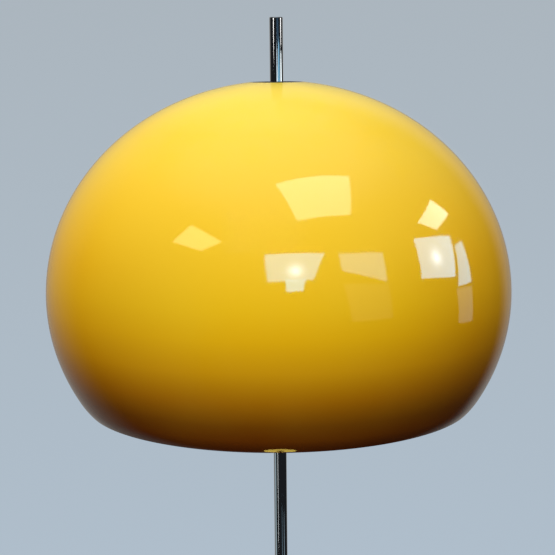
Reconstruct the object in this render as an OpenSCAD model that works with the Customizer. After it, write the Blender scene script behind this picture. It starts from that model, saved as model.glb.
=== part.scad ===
// Floor lamp with a dome shade that slides and turns on a chromed pole.
// Origin: middle of the base, on the floor. Millimetres, Z up, front towards -Y.

/* [Pole] */
// Height of the pole's tip above the floor
lamp_h = 1600; // [1450:10:1800]
// Outside diameter of the pole
pole_d = 13; // [12.5:0.5:15]
// Wall of the pole's tubes
tube_wall = 1.2; // [1:0.1:1.5]
// Height of the joint between the lower and the upper tube
joint_z = 805; // [600:5:950]
// Height of the cap's head on the pole's tip
cap_head_h = 3; // [2:0.5:6]
// Length of the cap's spigot inside the tube
cap_spigot_h = 12; // [8:1:20]
// Diameter of the hollow threaded nipples in the pole
nipple_d = 8; // [7:0.5:8]
// Bore of the nipples, for the flex
nipple_bore = 5.5; // [4:0.5:6]
// Length of each threaded bush in the tubes
bush_len = 20; // [14:1:30]
// Bore of the grommet where the flex leaves the pole
exit_d = 5; // [4:0.5:5.5]

/* [Base] */
// Diameter of the base
base_d = 200; // [180:5:280]
// Height of the base at its middle
base_h = 30; // [28:1:40]
// How far the top of the base falls from its middle to its shoulder
base_fall = 3; // [0:0.5:4]
// Radius of the base's shoulder
shoulder_r = 13; // [8:1:15]
// Thickness of the sheet steel cover
cover_wall = 1.2; // [0.8:0.1:2]
// Thickness of the felt
felt_t = 2; // [1.5:0.5:4]
// Diameter of the collar round the pole's foot
root_d = 46; // [36:1:60]
// Height of the collar round the pole's foot
root_h = 16; // [10:1:30]
// Bore of the cord gland
gland_bore = 6.5; // [5:0.5:7]
// Diameter of the gland's flange
gland_flange_d = 13; // [12:0.5:15]

/* [Shade] */
// Widest diameter of the shade
shade_d = 460; // [420:5:520]
// Height of the crown above the widest place
crown_h = 209; // [180:1:230]
// Depth of the rim below the widest place
skirt_h = 111.5; // [90:0.5:125]
// Depth that the lower half would have as a full half ellipse
skirt_full_h = 205; // [190:1:230]
// Height of the turned-in lip at the rim
lip_h = 13; // [4:1:14]
// Radius of the lip's curve
lip_r = 75; // [60:5:120]
// Wall of the shade
shade_wall = 3; // [2:0.5:4]
// Diameter of the hole in the crown
crown_hole_d = 48; // [46:1:56]
// How far the ring let into the crown laps over the hole's edge
ring_lap = 2.3; // [2:0.1:4]
// How far the pole stands above the crown
pole_proud = 61; // [55:1:100]

/* [Carriage] */
// Depth of the clamp collar's foot below the crown
clamp_depth = 100; // [96:1:120]
// Outside diameter of the clamp collar
collar_d = 28; // [26:1:34]
// Height of the clamp collar
collar_h = 18; // [14:1:22]
// Diameter of the clamp screw's thread
screw_d = 5; // [4:0.5:6]
// Diameter of the clamp knob
knob_d = 22; // [18:1:28]
// Thickness of the clamp knob's grip
knob_t = 10; // [8:1:14]
// Grooves round the clamp knob
knob_grooves = 20; // [12:1:24]
// Outside diameter of the hub
hub_d = 24; // [23:0.5:26]
// Depth of the bridge bar's underside below the crown
bar_depth = 46; // [44:1:52]
// Width of the bridge bar
bar_w = 24; // [22:1:30]
// Thickness of the bridge bar
bar_t = 3; // [2:0.5:4]
// Distance of each lampholder from the pole
holder_x = 60; // [55:1:75]
// Spokes of the carrier under the crown
spokes = 3; // [3:1:5]

/* [Lampholders] */
// Outside diameter of a lampholder
holder_d = 41; // [40:1:46]
// Height of a lampholder's cap
holder_cap_h = 22; // [18:1:26]
// Height of a lampholder's skirt
holder_skirt_h = 34; // [32:1:40]
// Diameter of a bulb's screw cap
bulb_cap_d = 26.4; // [26:0.1:26.5]
// Diameter of a bulb's globe
globe_d = 60; // [45:1:65]
// Whole length of a bulb
bulb_len = 107; // [100:1:120]

/* [Hidden] */
$fn = 96;

// Clearances: radial in threads and pressed seats, radial on the pole, and between turning faces
fit = 0.05;
run = 0.08;
slip = 0.05;
// How far a cut runs past the faces that it opens
over = 1;

// Colours
chrome_c = "silver";
yellow_c = "gold";
black_c = "#1a1a1a";
steel_c = "lightsteelblue";
iron_c = "dimgray";
brass_c = "goldenrod";
nylon_c = "ivory";
white_c = "white";

// Pole
pole_r = pole_d / 2;
tube_bore_r = pole_r - tube_wall;
nipple_r = nipple_d / 2;
bush_inset = 0.25;
pole_z0 = base_h;
tube_top_z = lamp_h - cap_head_h;
cap_round = 1;

// Base
base_r = base_d / 2;
felt_gap = 4;
felt_bore_r = 21;
weight_gap = 0.4;
recess_r = 19;
recess_h = 11;
recess_top_z = felt_t + recess_h;
washer_r = 15;
washer_t = 2;
base_nut_r = 8;
base_nut_h = 6;
channel_w = 12;
channel_top_z = recess_top_z + 1;
gland_z = channel_top_z - 5;
gland_len = 12;
gland_flange_t = 2;
gland_body_r = gland_bore / 2 + 1.5;
root_top_r = pole_r + 2.5;
root_edge_h = 3;

// Shade
shade_r = shade_d / 2;
crown_z = lamp_h - pole_proud;
wide_z = crown_z - crown_h;
hole_r = crown_hole_d / 2;
hole_angle = asin(hole_r / shade_r);
upper_steps = 40;
lower_steps = 16;
lip_steps = 6;
lip_start = asin((skirt_h - lip_h) / skirt_full_h);
lip_from = atan2(sin(lip_start) / skirt_full_h, cos(lip_start) / shade_r);
lip_to = asin(sin(lip_from) + lip_h / lip_r);

// Crown ring, gasket and carrier. The gasket's top is a cone just under the crown's inner face
ring_spigot_r = hole_r - 0.6;
ring_bore_r = ring_spigot_r - 3.4;
ring_r = hole_r + ring_lap;
ring_edge = 0.3;
ring_seat = 0.08;
rebate_r = ring_r + fit;
rebate_h = 0.4 * shade_wall;
rebate_angle = asin(rebate_r / shade_r);
rebate_z = crown_outside(rebate_r) - rebate_h;
ring_top_z = rebate_z + rebate_h;
gasket_in_r = hole_r + 0.5;
gasket_out_r = hole_r + 20;
gasket_t = 1.5;
gasket_seat = 0.1;
gasket_in_z = crown_inside(gasket_in_r) - gasket_seat;
gasket_out_z = crown_inside(gasket_out_r) - gasket_seat;
carrier_depth = 16;
carrier_z = crown_z - carrier_depth;
carrier_t = 4;
carrier_collar_r = hole_r + 4;
carrier_flange_t = 2;
spoke_w = 9;
boss_r = hub_d / 2 + 4;
ring_spigot_z = carrier_z + carrier_t + slip;

// Flex exit: below the clamp collar at the foot of its travel, and inside the shade at every height
travel_down = 140;
exit_clear = 11;
exit_depth = clamp_depth + travel_down + exit_clear;
exit_z = crown_z - exit_depth;
grommet_wall = 0.8;
grommet_flange_r = exit_d / 2 + 2;
grommet_flange_t = 1;

// Clamp
collar_z = crown_z - clamp_depth;
screw_r = screw_d / 2;
screw_z = collar_z + collar_h / 2;
pad_gap = 0.1;
pad_len = 3;
knob_neck_r = 7;
knob_neck_h = 3;
knob_gap = 3;
knob_y = collar_d / 2 + knob_gap;
knob_end = 2;
knob_end_y = knob_y + knob_neck_h + knob_t;
stud_end_y = knob_end_y - knob_end;
groove_r = 0.9;
thrust_t = 1.5;

// Hub
hub_r = hub_d / 2;
hub_bore_r = pole_r + 2.5;
hub_z = collar_z + collar_h + thrust_t + slip;
hub_foot_r = hub_r + 3;
hub_foot_h = 4;
hub_shelf_r = hub_r + 6;
hub_shelf_h = 4;
hub_neck_r = hub_r - 1.5;
hub_bush_len = 12;
bar_z = crown_z - bar_depth;
bar_top_z = bar_z + bar_t;
bar_end = 20;
bridge_nut_r = hub_r + 5;
bridge_nut_h = 6;
carrier_nut_r = hub_neck_r + 5;
carrier_nut_h = 5;
hub_top_z = carrier_z + carrier_t + carrier_nut_h + 1;

// Terminal block and the two small screws on the bar
block_x = (hub_r + holder_x) / 2;
block_size = [13, 18, 10];
small_screw_r = 1.5;
small_head_r = 3;
small_head_h = 2.4;
small_screw_len = 6;

// Lampholders and bulbs
holder_r = holder_d / 2;
holder_wall = 2;
holder_top_r = 10;
holder_slope_h = 12;
holder_nip_r = 5;
holder_nip_bore_r = 3.5;
holder_thread_h = 4;
holder_nut_r = 8.5;
holder_nut_h = 4;
skirt_z = bar_z - holder_cap_h;
insert_h = 12;
insert_r = holder_r - 3;
ledge_r = insert_r - 2;
mouth_r = bulb_cap_d / 2 + 1.3;
mouth_h = 2;
shell_bore_r = bulb_cap_d / 2 + 0.2;
shell_wall = 0.5;
shell_h = 19;
contact_r = 3.5;
contact_h = 2;
bulb_tip_z = skirt_z - insert_h - contact_h - slip;
button_r = 4.5;
button_h = 2;
bulb_cap_h = 25;
bulb_cap_wall = 0.6;
bulb_cap_crown = 3;
globe_r = globe_d / 2;
glass_wall = 1;
neck_r = bulb_cap_d / 2 - bulb_cap_wall - fit;
neck_in_cap = 10;
neck_below = 4;
globe_z = bulb_tip_z - bulb_len + globe_r;
globe_steps = 24;

function backwards(points) = [for (i = [len(points) - 1:-1:0]) points[i]];

// Points of the shade's face, a given depth inside its outer face, from an angle at the crown to
// the rim
function upper_point(t, depth) =
    let (n = [sin(t) / shade_r, cos(t) / crown_h])
    [shade_r * sin(t), crown_h * cos(t)] - depth * n / norm(n);
function lower_point(t, depth) =
    let (n = [cos(t) / shade_r, -sin(t) / skirt_full_h])
    [shade_r * cos(t), -skirt_full_h * sin(t)] - depth * n / norm(n);
function lip_point(a, depth) =
    lower_point(lip_start, 0) - lip_r * [cos(lip_from), -sin(lip_from)]
    + (lip_r - depth) * [cos(a), -sin(a)];
function between(from, to, i, steps) = from + (to - from) * i / steps;
function shade_face(depth, first) = concat(
    [for (i = [0:upper_steps]) upper_point(between(first, 90, i, upper_steps), depth)],
    [for (i = [1:lower_steps]) lower_point(between(0, lip_start, i, lower_steps), depth)],
    [for (i = [1:lip_steps]) lip_point(between(lip_from, lip_to, i, lip_steps), depth)]);

// Heights of the crown's outer and inner faces at a radius
function crown_outside(r) = wide_z + crown_h * sqrt(1 - pow(r / shade_r, 2));
function crown_inside(r) = wide_z + (crown_h - shade_wall) * sqrt(1 - pow(r / (shade_r - shade_wall), 2));

// A straight tube between two heights
module pipe(r_out, r_in, z0, z1) {
    translate([0, 0, z0])
        difference() {
            cylinder(r = r_out, h = z1 - z0);
            translate([0, 0, -over])
                cylinder(r = r_in, h = z1 - z0 + 2 * over);
        }
}

// A hexagon nut between two heights
module nut(corner_r, bore_r, z0, z1) {
    translate([0, 0, z0])
        difference() {
            cylinder(r = corner_r, h = z1 - z0, $fn = 6);
            translate([0, 0, -over])
                cylinder(r = bore_r, h = z1 - z0 + 2 * over);
        }
}

// A cylinder along -Y from the pole's axis, between two distances
module forward_rod(r, y0, y1) {
    translate([0, -y0, 0])
        rotate([90, 0, 0])
            cylinder(r = r, h = y1 - y0);
}

// The same thing at both lampholders
module at_holders() {
    for (side = [-1, 1])
        translate([side * holder_x, 0, 0])
            children();
}

// A small pan head screw standing on a surface, with its shank below
module pan_screw(length) {
    cylinder(r = small_head_r, h = small_head_h);
    translate([0, 0, -length])
        cylinder(r = small_screw_r, h = length + small_head_h / 2);
}

// Outline of the base's outside, drawn in by a wall
function cover_line(wall) = concat(
    [[0, base_h - wall]],
    [for (i = [0:8]) let (a = 90 - i * 90 / 8)
        [base_r - shoulder_r + (shoulder_r - wall) * cos(a),
         base_h - base_fall - shoulder_r + (shoulder_r - wall) * sin(a)]],
    [[base_r - wall, felt_t]]);

module base_cover() {
    color(yellow_c)
        difference() {
            rotate_extrude()
                polygon(concat(cover_line(0), backwards(cover_line(cover_wall))));
            translate([0, 0, base_h - 2 * cover_wall - over])
                cylinder(r = nipple_r + fit, h = 2 * cover_wall + 2 * over);
            translate([0, base_r + over, gland_z])
                rotate([90, 0, 0])
                    cylinder(r = gland_body_r + fit, h = cover_wall + 2 * over);
        }
}

module base_weight() {
    color(iron_c)
        difference() {
            rotate_extrude()
                polygon(concat(
                    [[0, felt_t]],
                    backwards(cover_line(cover_wall + weight_gap))));
            translate([0, 0, felt_t - over])
                cylinder(r = recess_r, h = recess_top_z - felt_t + over);
            cylinder(r = nipple_r + fit, h = base_h + over);
            translate([-channel_w / 2, 0, felt_t - over])
                cube([channel_w, base_r + over, channel_top_z - felt_t + over]);
        }
}

module base_felt() {
    color("darkslategray")
        pipe(base_r - felt_gap, felt_bore_r, 0, felt_t);
}

module base_washer() {
    color(steel_c)
        pipe(washer_r, nipple_r + fit, recess_top_z - washer_t, recess_top_z);
}

module base_nut() {
    color(steel_c)
        nut(base_nut_r, nipple_r + fit, recess_top_z - washer_t - base_nut_h, recess_top_z - washer_t);
}

module base_nipple() {
    color(steel_c)
        pipe(nipple_r, nipple_bore / 2, recess_top_z - washer_t - base_nut_h - 1, pole_z0 + bush_len);
}

module root_collar() {
    color(black_c)
        rotate_extrude()
            polygon([
                [pole_r + fit, base_h], [root_d / 2, base_h],
                [root_d / 2, base_h + root_edge_h],
                [root_top_r, base_h + root_h], [pole_r + fit, base_h + root_h]]);
}

module cord_gland() {
    color(black_c)
        translate([0, base_r, gland_z])
            rotate([-90, 0, 0])
                difference() {
                    union() {
                        cylinder(r = gland_flange_d / 2, h = gland_flange_t);
                        translate([0, 0, gland_flange_t - gland_len])
                            cylinder(r = gland_body_r, h = gland_len);
                    }
                    translate([0, 0, gland_flange_t - gland_len - over])
                        cylinder(d = gland_bore, h = gland_len + 2 * over);
                }
}

// The flex's hole through the back wall of the pole, or what fills it
module exit_rod(r, y0, y1) {
    translate([0, y0, exit_z])
        rotate([-90, 0, 0])
            cylinder(r = r, h = y1 - y0);
}

module lower_tube() {
    color(chrome_c)
        pipe(pole_r, tube_bore_r, pole_z0, joint_z);
}

module upper_tube() {
    color(chrome_c)
        difference() {
            pipe(pole_r, tube_bore_r, joint_z, tube_top_z);
            exit_rod(exit_d / 2 + grommet_wall + fit, 0, pole_r + over);
        }
}

module tube_bushes() {
    color(brass_c)
        for (z = [pole_z0, joint_z - bush_inset - bush_len, joint_z + bush_inset])
            pipe(tube_bore_r - fit, nipple_r + fit, z, z + bush_len);
}

module joint_nipple() {
    color(steel_c)
        pipe(nipple_r, nipple_bore / 2, joint_z - bush_len, joint_z + bush_len);
}

module pole_cap() {
    color(chrome_c)
        rotate_extrude()
            polygon(concat(
                [[0, tube_top_z - cap_spigot_h],
                 [tube_bore_r - fit, tube_top_z - cap_spigot_h],
                 [tube_bore_r - fit, tube_top_z],
                 [pole_r, tube_top_z]],
                [for (i = [0:6]) let (a = i * 15)
                    [pole_r - cap_round + cap_round * cos(a), lamp_h - cap_round + cap_round * sin(a)]],
                [[0, lamp_h]]));
}

module exit_grommet() {
    color(black_c)
        difference() {
            union() {
                exit_rod(exit_d / 2 + grommet_wall, tube_bore_r - 1, pole_r + grommet_flange_t);
                difference() {
                    exit_rod(grommet_flange_r, tube_bore_r - 1, pole_r + grommet_flange_t);
                    translate([0, 0, exit_z - grommet_flange_r - over])
                        cylinder(r = pole_r + fit, h = 2 * (grommet_flange_r + over));
                }
            }
            exit_rod(exit_d / 2, 0, pole_r + grommet_flange_t + over);
        }
}

module clamp_collar() {
    color(chrome_c)
        difference() {
            pipe(collar_d / 2, pole_r + run, collar_z, collar_z + collar_h);
            translate([0, 0, screw_z])
                forward_rod(screw_r + fit, 0, collar_d / 2 + over);
        }
}

module thrust_washer() {
    color(nylon_c)
        pipe(collar_d / 2 - 1, pole_r + run, collar_z + collar_h, collar_z + collar_h + thrust_t);
}

module clamp_pad() {
    color(brass_c)
        translate([0, 0, screw_z])
            forward_rod(screw_r - fit, pole_r + pad_gap, pole_r + pad_gap + pad_len);
}

module clamp_stud() {
    color(steel_c)
        translate([0, 0, screw_z])
            forward_rod(screw_r, pole_r + pad_gap + pad_len + slip, stud_end_y);
}

module clamp_knob() {
    color(black_c)
        translate([0, 0, screw_z])
            difference() {
                union() {
                    forward_rod(knob_neck_r, knob_y, knob_y + knob_neck_h);
                    forward_rod(knob_d / 2, knob_y + knob_neck_h, knob_end_y);
                }
                forward_rod(screw_r + fit, knob_y - over, stud_end_y);
                for (i = [0:knob_grooves - 1])
                    rotate([0, i * 360 / knob_grooves, 0])
                        translate([knob_d / 2, 0, 0])
                            forward_rod(groove_r, knob_y + knob_neck_h - over, knob_end_y + over);
            }
}

module hub() {
    color("gainsboro")
        rotate_extrude()
            polygon([
                [hub_bore_r, hub_z], [hub_foot_r, hub_z],
                [hub_foot_r, hub_z + hub_foot_h], [hub_r, hub_z + hub_foot_h],
                [hub_r, bar_z - hub_shelf_h], [hub_shelf_r, bar_z - hub_shelf_h],
                [hub_shelf_r, bar_z], [hub_r, bar_z],
                [hub_r, carrier_z], [hub_neck_r, carrier_z],
                [hub_neck_r, hub_top_z], [hub_bore_r, hub_top_z]]);
}

module hub_bushes() {
    color(nylon_c)
        for (z = [hub_z, hub_top_z - hub_bush_len])
            pipe(hub_bore_r - fit, pole_r + run, z, z + hub_bush_len);
}

module bridge_bar() {
    color(steel_c)
        difference() {
            translate([0, 0, bar_z])
                linear_extrude(bar_t)
                    union() {
                        square([2 * (holder_x + bar_end) - bar_w, bar_w], center = true);
                        for (side = [-1, 1])
                            translate([side * (holder_x + bar_end - bar_w / 2), 0])
                                circle(d = bar_w);
                        circle(r = hub_shelf_r);
                    }
            translate([0, 0, bar_z - over]) {
                cylinder(r = hub_r + fit, h = bar_t + 2 * over);
                at_holders()
                    cylinder(r = holder_nip_r + fit, h = bar_t + 2 * over);
                for (side = [-1, 1])
                    translate([side * block_x, 0, 0])
                        cylinder(r = small_screw_r + fit, h = bar_t + 2 * over);
            }
        }
}

module bridge_nut() {
    color(brass_c)
        nut(bridge_nut_r, hub_r + fit, bar_top_z, bar_top_z + bridge_nut_h);
}

// The carrier's flange dips outwards with the gasket that lies on it
module carrier() {
    collar_top = gasket_in_z - gasket_t - slip;
    edge_top = gasket_out_z - gasket_t - slip;
    color(steel_c)
        difference() {
            union() {
                rotate_extrude()
                    polygon([
                        [ring_spigot_r + fit, carrier_z], [carrier_collar_r, carrier_z],
                        [carrier_collar_r, collar_top - carrier_flange_t],
                        [gasket_out_r, edge_top - carrier_flange_t], [gasket_out_r, edge_top],
                        [gasket_in_r, collar_top],
                        [ring_spigot_r + fit, collar_top]]);
                translate([0, 0, carrier_z]) {
                    cylinder(r = boss_r, h = carrier_t);
                    for (i = [0:spokes - 1])
                        rotate([0, 0, 90 + i * 360 / spokes])
                            translate([0, -spoke_w / 2, 0])
                                cube([ring_spigot_r + 1, spoke_w, carrier_t]);
                }
            }
            translate([0, 0, carrier_z - over])
                cylinder(r = hub_neck_r + fit, h = carrier_t + 2 * over);
        }
}

module carrier_nut() {
    color(brass_c)
        nut(carrier_nut_r, hub_neck_r + fit, carrier_z + carrier_t, carrier_z + carrier_t + carrier_nut_h);
}

module carrier_gasket() {
    color(black_c)
        rotate_extrude()
            polygon([
                [gasket_in_r, gasket_in_z - gasket_t], [gasket_out_r, gasket_out_z - gasket_t],
                [gasket_out_r, gasket_out_z], [gasket_in_r, gasket_in_z]]);
}

// The ring lies flush in the rebate round the crown's hole, and its spigot goes down to the carrier
module crown_ring() {
    color(black_c)
        rotate_extrude()
            polygon([
                [ring_bore_r, ring_spigot_z], [ring_spigot_r, ring_spigot_z],
                [ring_spigot_r, rebate_z + ring_seat], [ring_r, rebate_z + ring_seat],
                [ring_r, ring_top_z - ring_edge], [ring_r - ring_edge, ring_top_z],
                [ring_bore_r + ring_edge, ring_top_z], [ring_bore_r, ring_top_z - ring_edge]]);
}

module shade() {
    color(yellow_c)
        translate([0, 0, wide_z])
            rotate_extrude($fn = 128)
                polygon(concat(
                    [[hole_r, rebate_z - wide_z], [rebate_r, rebate_z - wide_z]],
                    shade_face(0, rebate_angle), backwards(shade_face(shade_wall, hole_angle))));
}

module terminal_block() {
    color(white_c)
        translate([block_x, 0, bar_top_z])
            difference() {
                translate([-block_size[0] / 2, -block_size[1] / 2, 0])
                    cube(block_size);
                translate([0, 0, -over])
                    cylinder(r = small_screw_r + fit, h = block_size[2] + 2 * over);
            }
}

module terminal_screw() {
    color(steel_c)
        translate([block_x, 0, bar_top_z + block_size[2]])
            pan_screw(block_size[2] + bar_t + 1);
}

module earth_screw() {
    color(brass_c)
        translate([-block_x, 0, bar_top_z])
            pan_screw(small_screw_len);
}

module holder_nipples() {
    color(steel_c)
        at_holders()
            pipe(holder_nip_r, holder_nip_bore_r, bar_z - holder_thread_h, bar_top_z + holder_nut_h + 1);
}

module holder_nuts() {
    color(brass_c)
        at_holders()
            nut(holder_nut_r, holder_nip_r + fit, bar_top_z, bar_top_z + holder_nut_h);
}

module holder_caps() {
    color(black_c)
        at_holders()
            translate([0, 0, bar_z])
                rotate_extrude()
                    polygon([
                        [holder_nip_r + fit, 0], [holder_top_r, 0], [holder_r, -holder_slope_h],
                        [holder_r, -holder_cap_h], [holder_r - holder_wall, -holder_cap_h],
                        [holder_r - holder_wall, -holder_slope_h - 1],
                        [holder_top_r - 1, -holder_thread_h], [holder_nip_r + fit, -holder_thread_h]]);
}

module holder_skirts() {
    color(black_c)
        at_holders()
            translate([0, 0, skirt_z])
                rotate_extrude()
                    polygon([
                        [insert_r, 0], [holder_r, 0], [holder_r, -holder_skirt_h],
                        [mouth_r, -holder_skirt_h], [mouth_r, mouth_h - holder_skirt_h],
                        [ledge_r, mouth_h - holder_skirt_h], [ledge_r, -insert_h], [insert_r, -insert_h]]);
}

module holder_inserts() {
    color(white_c)
        at_holders()
            translate([0, 0, skirt_z - insert_h])
                cylinder(r = insert_r - fit, h = insert_h);
}

module holder_shells() {
    color(brass_c)
        at_holders()
            pipe(shell_bore_r + shell_wall, shell_bore_r, skirt_z - insert_h - shell_h, skirt_z - insert_h);
}

module holder_contacts() {
    color(brass_c)
        at_holders()
            translate([0, 0, skirt_z - insert_h - contact_h])
                cylinder(r = contact_r, h = contact_h);
}

module bulb_caps() {
    color(steel_c)
        at_holders()
            translate([0, 0, bulb_tip_z])
                rotate_extrude()
                    polygon([
                        [0, 0], [button_r, 0], [button_r + 1, -button_h], [bulb_cap_d / 2, -button_h - 1],
                        [bulb_cap_d / 2, -bulb_cap_h],
                        [bulb_cap_d / 2 - bulb_cap_wall, -bulb_cap_h],
                        [bulb_cap_d / 2 - bulb_cap_wall, -button_h - bulb_cap_crown],
                        [0, -button_h - bulb_cap_crown]]);
}

// Outline of a bulb's glass, from the neck inside its cap to the bottom of the globe
function globe_line(wall) =
    let (neck_z = bulb_tip_z - bulb_cap_h - neck_below, turn = asin(neck_r / globe_r) + 35)
    concat(
        [[neck_r - wall, bulb_tip_z - bulb_cap_h + neck_in_cap], [neck_r - wall, neck_z]],
        [for (i = [0:globe_steps]) let (a = between(90 - turn, -90, i, globe_steps))
            [(globe_r - wall) * cos(a), globe_z + (globe_r - wall) * sin(a)]]);

module bulb_globes() {
    color(white_c)
        at_holders()
            rotate_extrude()
                polygon(concat(globe_line(0), backwards(globe_line(glass_wall))));
}

base_weight();
base_cover();
base_felt();
base_washer();
base_nut();
base_nipple();
root_collar();
cord_gland();
lower_tube();
upper_tube();
tube_bushes();
joint_nipple();
pole_cap();
exit_grommet();
clamp_collar();
thrust_washer();
clamp_pad();
clamp_stud();
clamp_knob();
hub();
hub_bushes();
bridge_bar();
bridge_nut();
carrier();
carrier_nut();
carrier_gasket();
crown_ring();
shade();
terminal_block();
terminal_screw();
earth_screw();
holder_nipples();
holder_nuts();
holder_caps();
holder_skirts();
holder_inserts();
holder_shells();
holder_contacts();
bulb_caps();
bulb_globes();
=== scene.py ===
"""Looks of the dome shade floor lamp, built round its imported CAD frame.

A yellow acrylic dome slides and turns on a chromed pole over a weighted round base. The classes
hold their sizes in millimetres, and the meshes are in metres. Z is up and the front is towards -Y.
"""

import logging
import math
from collections.abc import Callable, Sequence
from dataclasses import dataclass, field, replace
from enum import Enum
from typing import ClassVar

import bpy
from mathutils import Matrix, Vector


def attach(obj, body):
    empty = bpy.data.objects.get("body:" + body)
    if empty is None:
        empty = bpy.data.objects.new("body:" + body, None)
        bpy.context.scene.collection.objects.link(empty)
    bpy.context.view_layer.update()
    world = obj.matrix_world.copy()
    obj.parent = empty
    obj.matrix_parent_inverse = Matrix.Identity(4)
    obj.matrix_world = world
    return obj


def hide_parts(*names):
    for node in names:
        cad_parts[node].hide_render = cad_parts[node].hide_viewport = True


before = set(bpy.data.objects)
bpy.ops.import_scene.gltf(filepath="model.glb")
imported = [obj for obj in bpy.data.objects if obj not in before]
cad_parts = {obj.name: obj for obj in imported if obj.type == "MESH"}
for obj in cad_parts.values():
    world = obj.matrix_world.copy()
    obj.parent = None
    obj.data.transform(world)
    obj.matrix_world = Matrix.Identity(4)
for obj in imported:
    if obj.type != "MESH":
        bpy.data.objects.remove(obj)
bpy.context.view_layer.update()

LOG = logging.getLogger("floor_lamp")
MM = 0.001
SHARP = 32.0

Rgb = tuple[float, float, float]
Point = tuple[float, float]
Piece = bpy.types.Object
Node = bpy.types.Node
Socket = bpy.types.NodeSocket

WHITE: Rgb = (1.0, 1.0, 1.0)


class Body(Enum):
    """The bodies of the frame that a piece can ride on."""

    STAND = "stand"
    CARRIAGE = "carriage"
    SCREW = "clamp_screw"
    HEAD = "head"


class Effect(Enum):
    """The surface effects that finishes share. Each is a node group, wired by EffectGroup."""

    DRIFT = "Patchy drift"
    GRAIN = "Fine grain"
    TURNING = "Turning marks"
    BRUSHING = "Brushing marks"
    SCUFFS = "Handling scuffs"
    DUST = "Settled dust"
    EDGE = "Edge wear"
    FIBRES = "Felt fibres"


# Modelling


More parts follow.
